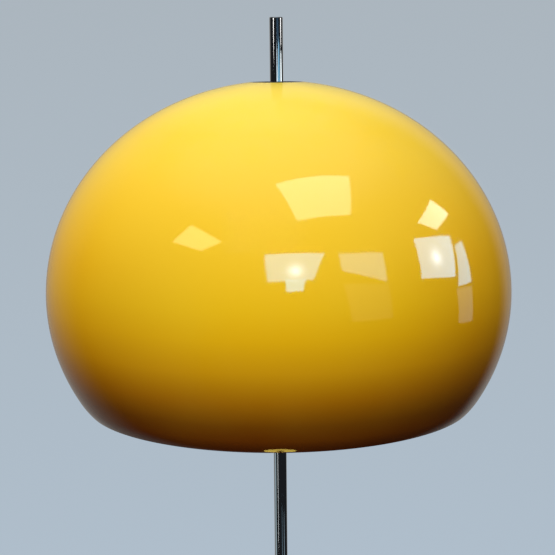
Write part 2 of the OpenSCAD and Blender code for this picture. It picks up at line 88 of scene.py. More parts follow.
class Bench:
    """Mesh work by operators, one piece at a time. Sizes are in millimetres."""

    @staticmethod
    def clear() -> None:
        """Goes back to object mode with nothing selected."""
        if bpy.context.mode != "OBJECT":
            bpy.ops.object.mode_set(mode="OBJECT")
        bpy.ops.object.select_all(action="DESELECT")

    @classmethod
    def hold(cls, *pieces: Piece) -> None:
        """Selects only these pieces and makes the first one active.

        Args:
            pieces: The pieces to work on.
        """
        cls.clear()
        for piece in pieces:
            piece.select_set(True)
        bpy.context.view_layer.objects.active = pieces[0]

    @classmethod
    def edit(cls, piece: Piece, kind: str = "VERT", action: str = "SELECT") -> None:
        """Opens a piece for editing.

        Args:
            piece: The piece.
            kind: What is selected, points or faces.
            action: Whether all of it is selected or none.
        """
        cls.hold(piece)
        bpy.ops.object.mode_set(mode="EDIT")
        bpy.ops.mesh.select_mode(type=kind)
        bpy.ops.mesh.select_all(action=action)

    @staticmethod
    def adopt(name: str) -> Piece:
        """Names the primitive that was just added.

        Args:
            name: The piece's name.

        Returns:
            The new piece.
        """
        piece = bpy.context.active_object
        piece.name = piece.data.name = name
        return piece

    @classmethod
    def weld(cls, piece: Piece) -> None:
        """Merges doubled points and turns the faces outwards.

        Args:
            piece: The piece to close.
        """
        cls.edit(piece)
        bpy.ops.mesh.remove_doubles(threshold=2e-6)
        bpy.ops.mesh.normals_make_consistent(inside=False)
        bpy.ops.object.mode_set(mode="OBJECT")

    @classmethod
    def disc(cls, name: str, points: int, radius: float, height: float) -> Piece:
        """Adds a flat disc round the Z axis.

        Args:
            name: The piece's name.
            points: Points round its edge.
            radius: Its radius.
            height: Its height above the floor.

        Returns:
            The disc.
        """
        cls.clear()
        place = (0.0, 0.0, height * MM)
        bpy.ops.mesh.primitive_circle_add(
            vertices=points, radius=radius * MM, fill_type="NGON", location=place,
        )
        piece = cls.adopt(name)
        bpy.ops.object.transform_apply(location=True)
        return piece

    @classmethod
    def outline(cls, name: str, profile: Sequence[Point]) -> Piece:
        """Draws an outline of edges in the XZ plane, point by point, and stays in edit mode.

        Args:
            name: The piece's name.
            profile: Points as (radius, height).

        Returns:
            The new piece, with all of the outline selected.
        """
        cls.clear()
        bpy.ops.mesh.primitive_plane_add(size=MM)
        piece = cls.adopt(name)
        cls.edit(piece)
        bpy.ops.mesh.merge(type="CENTER")
        here = Vector((0.0, 0.0, 0.0))
        for index, (radius, height) in enumerate(profile):
            there = Vector((radius * MM, 0.0, height * MM))
            if index:
                bpy.ops.mesh.extrude_vertices_move(TRANSFORM_OT_translate={"value": there - here})
            else:
                bpy.ops.transform.translate(value=there)
            here = there
        bpy.ops.mesh.select_all(action="SELECT")
        return piece

    @classmethod
    def turn(
        cls, name: str, profile: Sequence[Point], steps: int = 96, closed: bool = True,
        rounding: Sequence[float] = (),
    ) -> Piece:
        """Spins an outline round the Z axis.

        Args:
            name: The piece's name.
            profile: Points as (radius, height), each once.
            steps: Faces round the piece.
            closed: Whether the outline goes back to its first point. Without that, its ends lie on the
                axis or stay open.
            rounding: What soften gets for the sharp edges, or nothing.

        Returns:
            The new piece.
        """
        piece = cls.outline(name, [*profile, profile[0]] if closed else profile)
        bpy.ops.mesh.spin(steps=steps, angle=math.tau, center=(0.0, 0.0, 0.0), axis=(0.0, 0.0, 1.0))
        cls.weld(piece)
        if rounding:
            cls.soften(piece, *rounding)
        return piece

    @classmethod
    def pick(cls, piece: Piece, test: Callable[[Vector, Vector], bool], faces: bool = True) -> None:
        """Selects faces or points by place and normal, and stays in edit mode.

        Args:
            piece: The piece to select on.
            test: Says of a centre and a normal, in metres, whether it is wanted.
            faces: Whether faces are picked rather than points.
        """
        cls.edit(piece, "FACE" if faces else "VERT", "DESELECT")
        bpy.ops.object.mode_set(mode="OBJECT")
        if faces:
            for face in piece.data.polygons:
                face.select = test(face.center, face.normal)
        else:
            for point in piece.data.vertices:
                point.select = test(point.co, point.normal)
        bpy.ops.object.mode_set(mode="EDIT")

    @staticmethod
    def rise(height: float) -> None:
        """Extrudes straight up what is selected."""
        bpy.ops.mesh.extrude_region_move(TRANSFORM_OT_translate={"value": (0.0, 0.0, height * MM)})

    @staticmethod
    def narrow(share: float, height: float) -> None:
        """Draws in to a share of its size, about the Z axis, what is selected at some height."""
        bpy.ops.transform.resize(value=(share, share, 1.0), center_override=(0.0, 0.0, height * MM))

    @classmethod
    def apply(cls, piece: Piece, kind: str, **settings: object) -> None:
        """Adds a modifier and applies it.

        Args:
            piece: The piece to change.
            kind: The modifier's type.
            settings: The modifier's values.
        """
        cls.hold(piece)
        modifier = piece.modifiers.new(kind.title(), kind)
        for key, value in settings.items():
            setattr(modifier, key, value)
        bpy.ops.object.modifier_apply(modifier=modifier.name)

    @classmethod
    def soften(cls, piece: Piece, width: float, angle: float = 30.0, segments: int = 3) -> None:
        """Rounds a piece's sharp edges.

        Args:
            piece: The piece to round.
            width: Width of the rounding.
            angle: The least angle that counts as an edge, in degrees.
            segments: Faces across the rounding.
        """
        cls.apply(
            piece, "BEVEL", width=width * MM, segments=segments, limit_method="ANGLE",
            angle_limit=math.radians(angle), use_clamp_overlap=True,
        )

    @classmethod
    def smooth(cls, piece: Piece, angle: float) -> None:
        """Shades a piece smooth, apart from its sharp edges.

        Normals are weighted by area, so a long straight face beside a small rounding still
        mirrors straight.

        Args:
            piece: The piece to shade.
            angle: The least angle that stays sharp, in degrees.
        """
        cls.hold(piece)
        bpy.ops.object.shade_smooth_by_angle(angle=math.radians(angle))
        cls.apply(piece, "WEIGHTED_NORMAL", mode="FACE_AREA", weight=50, keep_sharp=True)

    @classmethod
    def place(cls, piece: Piece, matrix: Matrix) -> None:
        """Moves a piece and puts its place in its mesh.

        Args:
            piece: The piece to move.
            matrix: Where it goes, in metres.
        """
        cls.hold(piece)
        piece.matrix_world = matrix
        bpy.ops.object.transform_apply(location=True, rotation=True, scale=True)

    @classmethod
    def tip(cls, piece: Piece, degrees: float, back: float, height: float) -> None:
        """Tips a piece over about the X axis, then moves it back and up."""
        move = Matrix.Translation((0.0, back * MM, height * MM))
        cls.place(piece, move @ Matrix.Rotation(math.radians(degrees), 4, "X"))

    @classmethod
    def join(cls, *pieces: Piece) -> Piece:
        """Joins pieces into the first one.

        Args:
            pieces: The pieces to join.

        Returns:
            The first piece, which now holds all of them.
        """
        cls.hold(*pieces)
        bpy.ops.object.join()
        return pieces[0]

    @classmethod
    def pair(cls, piece: Piece, distance: float) -> Piece:
        """Puts a piece and its copy, with its own mesh, at both sides of the Z axis.

        Args:
            piece: The piece, modelled on the Z axis.
            distance: How far each one is from the axis along X.

        Returns:
            One piece that holds both.
        """
        cls.hold(piece)
        bpy.ops.object.duplicate(linked=False)
        twin = bpy.context.active_object
        for one, across in ((twin, -distance), (piece, distance)):
            cls.place(one, Matrix.Translation((across * MM, 0.0, 0.0)))
        return cls.join(piece, twin)

    @classmethod
    def threaded(
        cls, name: str, core: float, crest: float, pitch: float, low: float, high: float,
    ) -> Piece:
        """Winds a thread round the Z axis, cuts it to length and shades it.

        Args:
            name: The piece's name.
            core: Radius at the thread's root.
            crest: Radius at its crest.
            pitch: Rise of one turn.
            low: Height of the lower end.
            high: Height of the upper end.

        Returns:
            The new piece, closed at both ends.
        """
        # A little more than one turn down, so that the cut meets no point of the winding.
        base = low - 1.013 * pitch
        tooth = ((core, 0.0), (core, 0.18), (crest, 0.43), (crest, 0.57), (core, 0.82), (core, 1.0))
        piece = cls.outline(name, [(radius, base + share * pitch) for radius, share in tooth])
        bpy.ops.object.mode_set(mode="OBJECT")
        cls.apply(
            piece, "SCREW", axis="Z", angle=math.tau, screw_offset=pitch * MM,
            iterations=math.ceil((high - low) / pitch) + 2, steps=40, render_steps=40,
        )
        cls.weld(piece)
        for height, upper in ((low, False), (high, True)):
            cls.edit(piece)
            bpy.ops.mesh.bisect(
                plane_co=(0.0, 0.0, height * MM), plane_no=(0.0, 0.0, 1.0), use_fill=True,
                clear_outer=upper, clear_inner=not upper, threshold=1e-7,
            )
        cls.weld(piece)
        cls.smooth(piece, 25.0)
        return piece


def arc(centre: Point, radius: float, start: float, end: float, steps: int) -> list[Point]:
    """Points along a circular arc.

    Args:
        centre: Middle of the arc, as (radius, height).
        radius: The arc's radius.
        start: First angle in degrees, from the radius axis towards the height axis.
        end: Last angle in degrees.
        steps: Number of pieces that the arc has.

    Returns:
        The points, from the first angle to the last.
    """
    angles = (math.radians(start + (end - start) * step / steps) for step in range(steps + 1))
    return [(centre[0] + radius * math.cos(a), centre[1] + radius * math.sin(a)) for a in angles]


def box(inner: float, outer: float, low: float, high: float) -> list[Point]:
    """Corners of a rectangular section, from its inner lower one outwards and up."""
    return [(inner, low), (outer, low), (outer, high), (inner, high)]


# Finishes


class Graph:
    """A node tree while it is being wired."""

    def __init__(self, tree: bpy.types.NodeTree) -> None:
        """Starts with the tree empty."""
        self.tree = tree
        tree.nodes.clear()

    def node(self, kind: str, inputs: dict[str | int, object] | None = None, **settings: object) -> Node:
        """Adds a node.

        Args:
            kind: The node's type, a shader node's without its ShaderNode.
            inputs: Values or output sockets for the node's inputs, by name or number.
            settings: The node's own values.

        Returns:
            The new node.
        """
        node = self.tree.nodes.new(kind if kind.startswith("NodeGroup") else f"ShaderNode{kind}")
        for key, value in settings.items():
            setattr(node, key, value)
        for key, value in (inputs or {}).items():
            if isinstance(value, Socket):
                self.tree.links.new(value, node.inputs[key])
            else:
                node.inputs[key].default_value = value
        return node

    def math(self, operation: str, *values: object) -> Socket:
        """Gives the result of a Math node, with its inputs in order."""
        return self.node("Math", dict(enumerate(values)), operation=operation).outputs[0]

    def times(self, first: object, second: object) -> Socket:
        """Gives the product of two values."""
        return self.math("MULTIPLY", first, second)

    def length(self, across: object, along: object) -> Socket:
        """Gives the length of a diagonal."""
        squares = self.times(across, across), self.times(along, along)
        return self.math("SQRT", self.math("ADD", *squares))

    def parts(self, vector: object) -> Sequence[Socket]:
        """Gives a vector's X, Y and Z."""
        return self.node("SeparateXYZ", {0: vector}).outputs

    def round_place(self, vector: object) -> tuple[Socket, Socket]:
        """Gives a place's distance from the Z axis and its height."""
        x, y, z = self.parts(vector)
        return self.length(x, y), z

    def remap(
        self, value: object, old: tuple[object, object], new: Point = (0.0, 1.0), kind: str = "LINEAR",
    ) -> Socket:
        """Maps a value from one range to another, kept within it.

        Args:
            value: The value to map.
            old: The range that it comes from.
            new: The range that it goes to.
            kind: The way from end to end.

        Returns:
            The mapped value.
        """
        ends = {"Value": value, "From Min": old[0], "From Max": old[1], "To Min": new[0], "To Max": new[1]}
        return self.node("MapRange", ends, interpolation_type=kind).outputs["Result"]

    def noise(self, vector: object, scale: object, detail: float = 3.0) -> Socket:
        """Gives noise of about 0.5 in the mean, with its scale per metre."""
        return self.node("TexNoise", {"Vector": vector, "Scale": scale, "Detail": detail}).outputs[0]

    def mix(self, share: object, first: object, second: object) -> Socket:
        """Mixes two colours, with the share of the second one."""
        colours = [(*colour, 1.0) if isinstance(colour, tuple) else colour for colour in (first, second)]
        return self.node("Mix", {0: share, 6: colours[0], 7: colours[1]}, data_type="RGBA").outputs[2]


class EffectGroup(Graph):
    """A shared effect's node group. Each method wires one effect, and Amount scales its result."""

    def __init__(self, effect: Effect) -> None:
        """Makes the group.

        Args:
            effect: The effect, whose name is that of its method.
        """
        super().__init__(bpy.data.node_groups.new(effect.value, "ShaderNodeTree"))
        face = self.tree.interface
        face.new_socket("Vector", in_out="INPUT", socket_type="NodeSocketVector")
        for name, value in (("Scale", 1.0), ("Amount", 1.0), ("Radius", 0.0), ("Height", 0.0)):
            socket = face.new_socket(name, in_out="INPUT", socket_type="NodeSocketFloat")
            socket.default_value = value
        face.new_socket("Value", in_out="OUTPUT", socket_type="NodeSocketFloat")
        given = self.node("NodeGroupInput").outputs
        self.vector, self.scale = given["Vector"], given["Scale"]
        self.radius, self.height = given["Radius"], given["Height"]
        value = getattr(self, effect.name.lower())()
        self.node("NodeGroupOutput", {"Value": self.times(value, given["Amount"])})

    def turned(self, turn: Rgb, stretch: Rgb) -> Socket:
        """Gives the place, turned and stretched."""
        inputs = {"Vector": self.vector, "Rotation": turn, "Scale": stretch}
        return self.node("Mapping", inputs).outputs[0]

    def drift(self) -> Socket:
        """Slow patches from 0 to 1, such as uneven polish."""
        return self.remap(self.noise(self.vector, self.scale, 4.0), (0.36, 0.64))

    def grain(self) -> Socket:
        """Height of a fine all-over grain, such as that of castings and moulded plastic."""
        coarse = self.noise(self.vector, self.times(self.scale, 0.23), 2.0)
        return self.math("ADD", self.noise(self.vector, self.scale, 6.0), coarse)

    def turning(self) -> Socket:
        """Height of fine rings round the Z axis, from a lathe or a polishing wheel."""
        distance, height = self.round_place(self.vector)
        return self.noise(self.node("CombineXYZ", {0: distance, 1: height}).outputs[0], self.scale)

    def brushing(self) -> Socket:
        """Height of fine lines along X, from brushing or rolling."""
        lines = self.node("VectorMath", {0: self.vector, 1: (0.03, 1.0, 1.0)}, operation="MULTIPLY")
        return self.noise(lines.outputs[0], self.scale)

    def scuffs(self) -> Socket:
        """Sparse thin scratches from dusting and handling.

        Returns:
            A mask from 0 to 1.
        """
        turns = ((0.3, 0.2, 0.5), (-0.9, 0.6, 1.7))
        lines = [self.noise(self.turned(turn, (1.0, 0.05, 1.0)), self.scale, 2.0) for turn in turns]
        masks = [self.remap(line, (0.70, 0.76)) for line in lines]
        patch = self.remap(self.noise(self.vector, self.times(self.scale, 0.06)), (0.42, 0.62))
        return self.times(self.math("MAXIMUM", *masks), patch)

    def dust(self) -> Socket:
        """Dust that settles on what faces up.

        Returns:
            A mask from 0 to 1.
        """
        normal = self.node("NewGeometry").outputs["Normal"]
        facing = self.remap(self.parts(normal)[2], (0.55, 1.0))
        patches = self.remap(self.noise(self.vector, self.scale, 8.0), (0.35, 0.75), (0.25, 1.0))
        return self.times(facing, patches)

    def edge(self) -> Socket:
        """Broken wear along a round edge at Radius and Height, with Scale for the band's width.

        Returns:
            A mask from 0 to 1.
        """
        distance, height = self.round_place(self.vector)
        across = self.math("SUBTRACT", distance, self.radius)
        away = self.length(across, self.math("SUBTRACT", height, self.height))
        near = self.math("SUBTRACT", 1.0, self.math("DIVIDE", away, self.scale))
        rough = self.noise(self.vector, self.math("DIVIDE", 0.45, self.scale), 6.0)
        worn = self.math("ADD", near, self.math("SUBTRACT", rough, 0.62))
        return self.remap(worn, (0.55, 0.80))

    def fibres(self) -> Socket:
        """Short crossed fibres of pressed felt.

        Returns:
            The fibres' height.
        """
        stretch = (0.12, 1.0, 1.0)
        first, second, third = (
            self.noise(self.turned((0.0, 0.0, turn), stretch), self.scale, 4.0) for turn in (0.4, 1.5, 2.6)
        )
        return self.math("MAXIMUM", self.math("MAXIMUM", first, second), third)


class MaterialGraph(Graph):
    """A material's node tree, read at the piece's own places."""

    groups: ClassVar[dict[Effect, EffectGroup]] = {}

    def __init__(self, name: str) -> None:
        """Makes the material.

        Args:
            name: Its name.
        """
        self.material = bpy.data.materials.new(name)
        self.material.use_nodes = True
        super().__init__(self.material.node_tree)
        self.place = self.node("TexCoord").outputs["Object"]

    def effect(self, effect: Effect, scale: float, amount: float = 1.0, **values: float) -> Socket:
        """Puts a shared effect in the material, making its group the first time.

        Args:
            effect: The effect.
            scale: Its scale.
            amount: How strong it is.
            values: The group's other inputs, in lower case.

        Returns:
            The effect's value.
        """
        if effect not in self.groups:
            self.groups[effect] = EffectGroup(effect)
        inputs = {"Vector": self.place, "Scale": scale, "Amount": amount}
        inputs |= {key.title(): value for key, value in values.items()}
        return self.node("Group", inputs, node_tree=self.groups[effect].tree).outputs["Value"]

    def finish(self, shader: Socket) -> bpy.types.Material:
        """Gives the material with this surface."""
        self.node("OutputMaterial", {"Surface": shader})
        return self.material


@dataclass(frozen=True)
class WornEdge:
    """A round edge that shows wear, in millimetres."""

    radius: float
    height: float
    width: float


@dataclass(frozen=True)
class Finish:
    """A finish: one plain shader with its colours, patterns and wear. Depth is in millimetres."""

    name: str
    colour: Rgb
    patch: Rgb
    roughness: tuple[float, float]
    texture: Effect
    texture_scale: float
    depth: float
    metallic: float = 0.0
    ior: float = 1.5
    coat: float = 0.0
    sheen: float = 0.0
    subsurface: float = 0.0
    drift_scale: float = 9.0
    scuffs: float = 0.3
    scuff_scale: float = 260.0
    dust: float = 0.1
    dust_scale: float = 70.0
    dust_colour: Rgb = (0.62, 0.60, 0.56)
    worn: float = 0.85
    smear: float = 2.7
    scuff_rough: float = 0.3
    worn_rough: float = 0.12
    dust_rough: float = 0.7
    worn_colour: Rgb = (0.6, 0.6, 0.6)
    edges: tuple[WornEdge, ...] = ()

    def base(self, graph: MaterialGraph) -> Socket:
        """Gives the colour before wear and dust."""
        return graph.mix(graph.effect(Effect.DRIFT, self.drift_scale), self.colour, self.patch)

    def build(self) -> bpy.types.Material:
        """Makes the material.

        Returns:
            The new material.
        """
        graph = MaterialGraph(self.name)
        colour = self.base(graph)
        smear = graph.effect(Effect.DRIFT, self.drift_scale * self.smear)
        rough = graph.remap(smear, (0.0, 1.0), self.roughness)
        if self.scuffs:
            mask = graph.effect(Effect.SCUFFS, self.scuff_scale, self.scuffs)
            rough = graph.math("ADD", rough, graph.times(mask, self.scuff_rough))
        for edge in self.edges:
            place = {"radius": edge.radius * MM, "height": edge.height * MM}
            mask = graph.effect(Effect.EDGE, edge.width * MM, self.worn, **place)
            colour = graph.mix(mask, colour, self.worn_colour)
            rough = graph.math("ADD", rough, graph.times(mask, self.worn_rough))
        if self.dust:
            mask = graph.effect(Effect.DUST, self.dust_scale, self.dust)
            colour = graph.mix(mask, colour, self.dust_colour)
            rough = graph.math("ADD", rough, graph.times(mask, self.dust_rough))
        height = graph.effect(self.texture, self.texture_scale)
        bump = graph.node("Bump", {"Strength": 1.0, "Distance": self.depth * MM, "Height": height})
        shader = graph.node("BsdfPrincipled", {
            "Base Color": colour, "Roughness": rough, "Normal": bump.outputs[0],
            "Metallic": self.metallic, "IOR": self.ior, "Coat Weight": self.coat,
            "Coat Roughness": 0.03, "Sheen Weight": self.sheen, "Subsurface Weight": self.subsurface,
            "Subsurface Radius": (0.010, 0.005, 0.001), "Subsurface Scale": 1.0,
        })
        return graph.finish(shader.outputs[0])


@dataclass(frozen=True)
class DomeFinish(Finish):
    """Yellow acrylic with painted shade: its colour darkens and reddens from the crown to the rim, and
    deepens where the lower dome is seen aslant.
    """

    # Colour stops by height in millimetres: painted shade that darkens and reddens the acrylic towards the
    # rim.
    tones_with_painted_shade: tuple[tuple[float, Rgb], ...] = ()
    cloud: float = 0.10
    crown: float = 1539.0
    # Painted shade on the lower dome's edges where it is seen aslant: its reach, its tint and the heights
    # where it fades in.
    slant: tuple[float, float] = (0.10, 0.50)
    painted_edge_shade_tint: Rgb = (0.97, 0.85, 0.55)
    slant_heights: tuple[float, float] = (1470.0, 1380.0)

    def base(self, graph: MaterialGraph) -> Socket:
        """Gives the colour by height and slant, with a faint cloudiness. The height ramp and the slant tint
        are painted shade.

        Args:
            graph: The material's graph.

        Returns:
            The colour.
        """
        # The height ramp is painted shade, darker and redder towards the rim.
        height = graph.parts(graph.place)[2]
        tones_with_painted_shade = (*self.tones_with_painted_shade, (self.crown, self.colour))
        low, high = tones_with_painted_shade[0][0], tones_with_painted_shade[-1][0]
        ramp = graph.node("ValToRGB", {0: graph.remap(height, (low * MM, high * MM))})
        stops = ramp.color_ramp.elements
        for index, (level, tone) in enumerate(tones_with_painted_shade):
            position = (level - low) / (high - low)
            stop = stops[index] if index < 2 else stops.new(position)
            stop.position = position
            stop.color = (*tone, 1.0)
        clouds = graph.effect(Effect.DRIFT, self.drift_scale, self.cloud)
        clouded = graph.mix(clouds, ramp.outputs[0], self.patch)
        # Painted shade: below the slant heights, the colour deepens where the dome is seen aslant.
        aslant = graph.remap(graph.node("LayerWeight").outputs["Facing"], self.slant)
        below = graph.remap(height, tuple(level * MM for level in self.slant_heights))
        painted_edge_shade = graph.mix(graph.times(aslant, below), WHITE, self.painted_edge_shade_tint)
        return graph.node("VectorMath", {0: clouded, 1: painted_edge_shade}, operation="MULTIPLY").outputs[0]


CHROME = Finish(
    name="chromium plate", colour=(0.80, 0.81, 0.82), patch=(0.74, 0.755, 0.77), roughness=(0.03, 0.07),
    texture=Effect.TURNING, texture_scale=900.0, depth=0.00004, metallic=1.0, drift_scale=24.0,
    scuffs=0.12, dust=0.03, worn_colour=(0.55, 0.53, 0.50),
)
LACQUER = Finish(
    name="yellow lacquer", colour=(0.93, 0.60, 0.030), patch=(0.90, 0.55, 0.022), roughness=(0.10, 0.18),
    texture=Effect.GRAIN, texture_scale=420.0, depth=0.012, coat=0.6, drift_scale=11.0, dust=0.16,
    worn_colour=(0.30, 0.28, 0.26), edges=(WornEdge(100.0, 2.4, 1.3), WornEdge(96.5, 23.4, 1.2)),
)
ACRYLIC = DomeFinish(
    name="yellow acrylic", colour=(0.990, 0.755, 0.095), patch=(0.93, 0.64, 0.06), roughness=(0.035, 0.065),
    texture=Effect.GRAIN, texture_scale=38.0, depth=0.030, ior=1.49, drift_scale=7.0, scuffs=0.12,
    # The rim's edge band lays a broken lighter yellow line over the dark rim tone.
    scuff_scale=180.0, dust=0.05, worn_colour=(0.90, 0.66, 0.20), edges=(WornEdge(190.6, 1218.5, 1.6),),
    # Painted shade: the colour darkens and reddens from the crown down to the rim.
    tones_with_painted_shade=(
        (1218.5, (0.30, 0.060, 0.001)), (1231.0, (0.36, 0.090, 0.001)), (1246.0, (0.40, 0.128, 0.002)),
        (1270.0, (0.67, 0.265, 0.002)), (1298.0, (0.90, 0.445, 0.003)), (1326.0, (0.975, 0.540, 0.004)),
        (1352.0, (0.985, 0.590, 0.010)), (1395.0, (0.975, 0.600, 0.022)), (1450.0, (0.965, 0.620, 0.042)),
        (1495.0, (0.970, 0.650, 0.046)),
    ),
)
BLACK_PLASTIC = Finish(
    name="black plastic", colour=(0.016, 0.016, 0.017), patch=(0.024, 0.023, 0.023),
    roughness=(0.24, 0.38), texture=Effect.GRAIN, texture_scale=1500.0, depth=0.010, drift_scale=40.0,
    dust=0.12, worn_colour=(0.09, 0.085, 0.08),
)
ZINC = Finish(
    name="zinc plated steel", colour=(0.62, 0.62, 0.60), patch=(0.50, 0.51, 0.52), roughness=(0.26, 0.42),
    texture=Effect.BRUSHING, texture_scale=1400.0, depth=0.008, metallic=1.0, drift_scale=60.0,
)
ALUMINIUM = replace(
    ZINC, name="turned aluminium", colour=(0.80, 0.80, 0.79), patch=(0.70, 0.70, 0.70),
    roughness=(0.22, 0.34), texture=Effect.TURNING, texture_scale=1700.0, depth=0.010,
)
BRASS = replace(
    ALUMINIUM, name="brass", colour=(0.78, 0.56, 0.24), patch=(0.60, 0.40, 0.16), roughness=(0.20, 0.38),
)
IRON = replace(
    ZINC, name="cast iron", colour=(0.16, 0.15, 0.145), patch=(0.24, 0.16, 0.11), roughness=(0.55, 0.75),
    texture=Effect.GRAIN, texture_scale=520.0, depth=0.16, metallic=0.7, drift_scale=22.0,
)
FELT = Finish(
    name="green felt", colour=(0.030, 0.062, 0.048), patch=(0.045, 0.080, 0.062), roughness=(0.92, 1.0),
    texture=Effect.FIBRES, texture_scale=900.0, depth=0.35, sheen=0.35, drift_scale=30.0, scuffs=0.0,
    dust=0.0,
)
RUBBER = replace(
    BLACK_PLASTIC, name="black rubber", colour=(0.022, 0.021, 0.020), patch=(0.034, 0.032, 0.030),
    roughness=(0.55, 0.72), depth=0.020,
)
NYLON = replace(
    BLACK_PLASTIC, name="natural nylon", colour=(0.78, 0.74, 0.64), patch=(0.70, 0.65, 0.54),
    roughness=(0.34, 0.48), subsurface=0.15,
)
PORCELAIN = replace(
    NYLON, name="porcelain", colour=(0.86, 0.85, 0.81), patch=(0.80, 0.78, 0.73), roughness=(0.12, 0.22),
    texture_scale=500.0, depth=0.02, coat=0.4, subsurface=0.0,
)
OPAL = Finish(
    name="opal glass", colour=(0.90, 0.90, 0.88), patch=(0.86, 0.86, 0.84), roughness=(0.10, 0.16),
    texture=Effect.GRAIN, texture_scale=60.0, depth=0.02, coat=0.5, drift_scale=30.0, dust=0.08,
    scuffs=0.0,
)

CAD_FINISHES: dict[Finish, tuple[str, ...]] = {
    IRON: ("base_weight",),
    FELT: ("base_felt",),
    ZINC: ("base_washer", "base_nut", "base_nipple", "joint_nipple", "terminal_screw", "holder_nipples"),
    BRASS: (
        "tube_bushes", "clamp_pad", "bridge_nut", "carrier_nut", "earth_screw", "holder_nuts",
        "holder_shells", "holder_contacts",
    ),
    RUBBER: ("exit_grommet", "carrier_gasket"),
    NYLON: ("hub_bushes",),
    PORCELAIN: ("terminal_block", "holder_inserts"),
}


class Paintshop:
    """Makes each finish once and dresses the pieces."""

    made: ClassVar[dict[Finish, bpy.types.Material]] = {}

    @classmethod
    def dress(cls, piece: Piece, finish: Finish) -> None:
        """Gives a piece its finish in every one of its material slots.

        Args:
            piece: The piece to dress.
            finish: Its finish.
        """
        if finish not in cls.made:
            cls.made[finish] = finish.build()
        if not piece.material_slots:
            piece.data.materials.append(cls.made[finish])
        for slot in piece.material_slots:
            slot.material = cls.made[finish]

    @classmethod
    def deliver(
        cls, piece: Piece, finish: Finish, slot: str, body: Body, *nodes: str, sharp: float = SHARP,
    ) -> None:
        """Shades and dresses a new piece, puts it on its body and lets it stand for its CAD nodes.

        Args:
            piece: The finished piece.
            finish: Its finish.
            slot: The name of the finish's slot; not used.
            body: The body that it rides on.
            nodes: The CAD nodes that it replaces.
            sharp: The least angle that stays sharp, in degrees, or 0 for a piece already shaded.
        """
        if sharp:
            Bench.smooth(piece, sharp)
        cls.dress(piece, finish)
        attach(piece, body.value)
        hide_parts(*nodes)
        LOG.info("%s: %d faces, %s, on %s", piece.name, len(piece.data.polygons), finish.name, body.value)

    @classmethod
    def dress_frame(cls) -> None:
        """Dresses the CAD nodes that stay as they are."""
        for finish, names in CAD_FINISHES.items():
            for name in names:
                cls.dress(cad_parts[name], finish)
                LOG.info("%s: CAD node, %s", name, finish.name)


# The lamp


@dataclass
class Base:
    """The weighted foot: a lacquered steel cover, the collar round the pole and the cord's inlet."""

    radius: float = 100.0
    height: float = 30.0
    fall: float = 3.0
    shoulder: float = 13.0
    shoulder_steps: int = 18
    middle: float = 60.0
    wall: float = 1.2
    foot: float = 2.0
    hole_radius: float = 4.05
    collar_radius: float = 23.0
    collar_top_radius: float = 9.0
    collar_height: float = 16.0
    collar_edge: float = 3.0
    collar_wear: float = 2.8
    pole_radius: float = 6.55
    inlet_height: float = 9.0
    inlet_bore: float = 3.25
    inlet_wall: float = 1.5
    inlet_flange: float = 6.5
    inlet_length: float = 12.0
    inlet_proud: float = 2.0

    def cover_line(self, inset: float) -> list[Point]:
        """Draws the cover's section.

        Args:
            inset: How far inside the outer face the line lies.

        Returns:
            Points from the middle hole over the shoulder to the foot.
        """
        bend = (self.radius - self.shoulder, self.height - self.fall - self.shoulder)
        slope = self.fall / bend[0]
        places = (self.hole_radius, self.collar_radius, self.middle)
        flat = [(place, self.height - inset - slope * place) for place in places]
        start = 90.0 - math.degrees(slope)
        turn = arc(bend, self.shoulder - inset, start, 0.0, self.shoulder_steps)
        return [*flat, *turn, (self.radius - inset, self.foot)]

    def build(self) -> None:
        """Builds and dresses the base."""
        section = self.cover_line(0.0) + self.cover_line(self.wall)[::-1]
        cover = Bench.turn("base_cover_shell", section, steps=144, rounding=(0.35, 40.0, 2))
        Paintshop.deliver(cover, LACQUER, "yellow_lacquer", Body.STAND, "base_cover")

        foot, top = self.height, self.height + self.collar_height
        collar = Bench.turn("pole_foot_collar", [
            (self.pole_radius, foot), (self.collar_radius, foot),
            (self.collar_radius, foot + self.collar_edge), (self.collar_top_radius, top),
            (self.pole_radius, top),
        ], rounding=(0.8,))
        edge = WornEdge(self.collar_radius, foot + self.collar_wear, 1.0)
        worn = replace(BLACK_PLASTIC, name="black plastic, foot collar", edges=(edge,))
        Paintshop.deliver(collar, worn, "black_plastic", Body.STAND, "root_collar")

        body = self.inlet_bore + self.inlet_wall
        inner = self.inlet_proud - self.inlet_length
        inlet = Bench.turn("cord_inlet_gland", [
            (self.inlet_bore, inner), (body, inner), (body, 0.0), (self.inlet_flange, 0.0),
            (self.inlet_flange, self.inlet_proud), (self.inlet_bore, self.inlet_proud),
        ], steps=64, rounding=(0.5,))
        Bench.tip(inlet, -90.0, self.radius, self.inlet_height)
        Paintshop.deliver(inlet, BLACK_PLASTIC, "black_plastic", Body.STAND, "cord_gland")


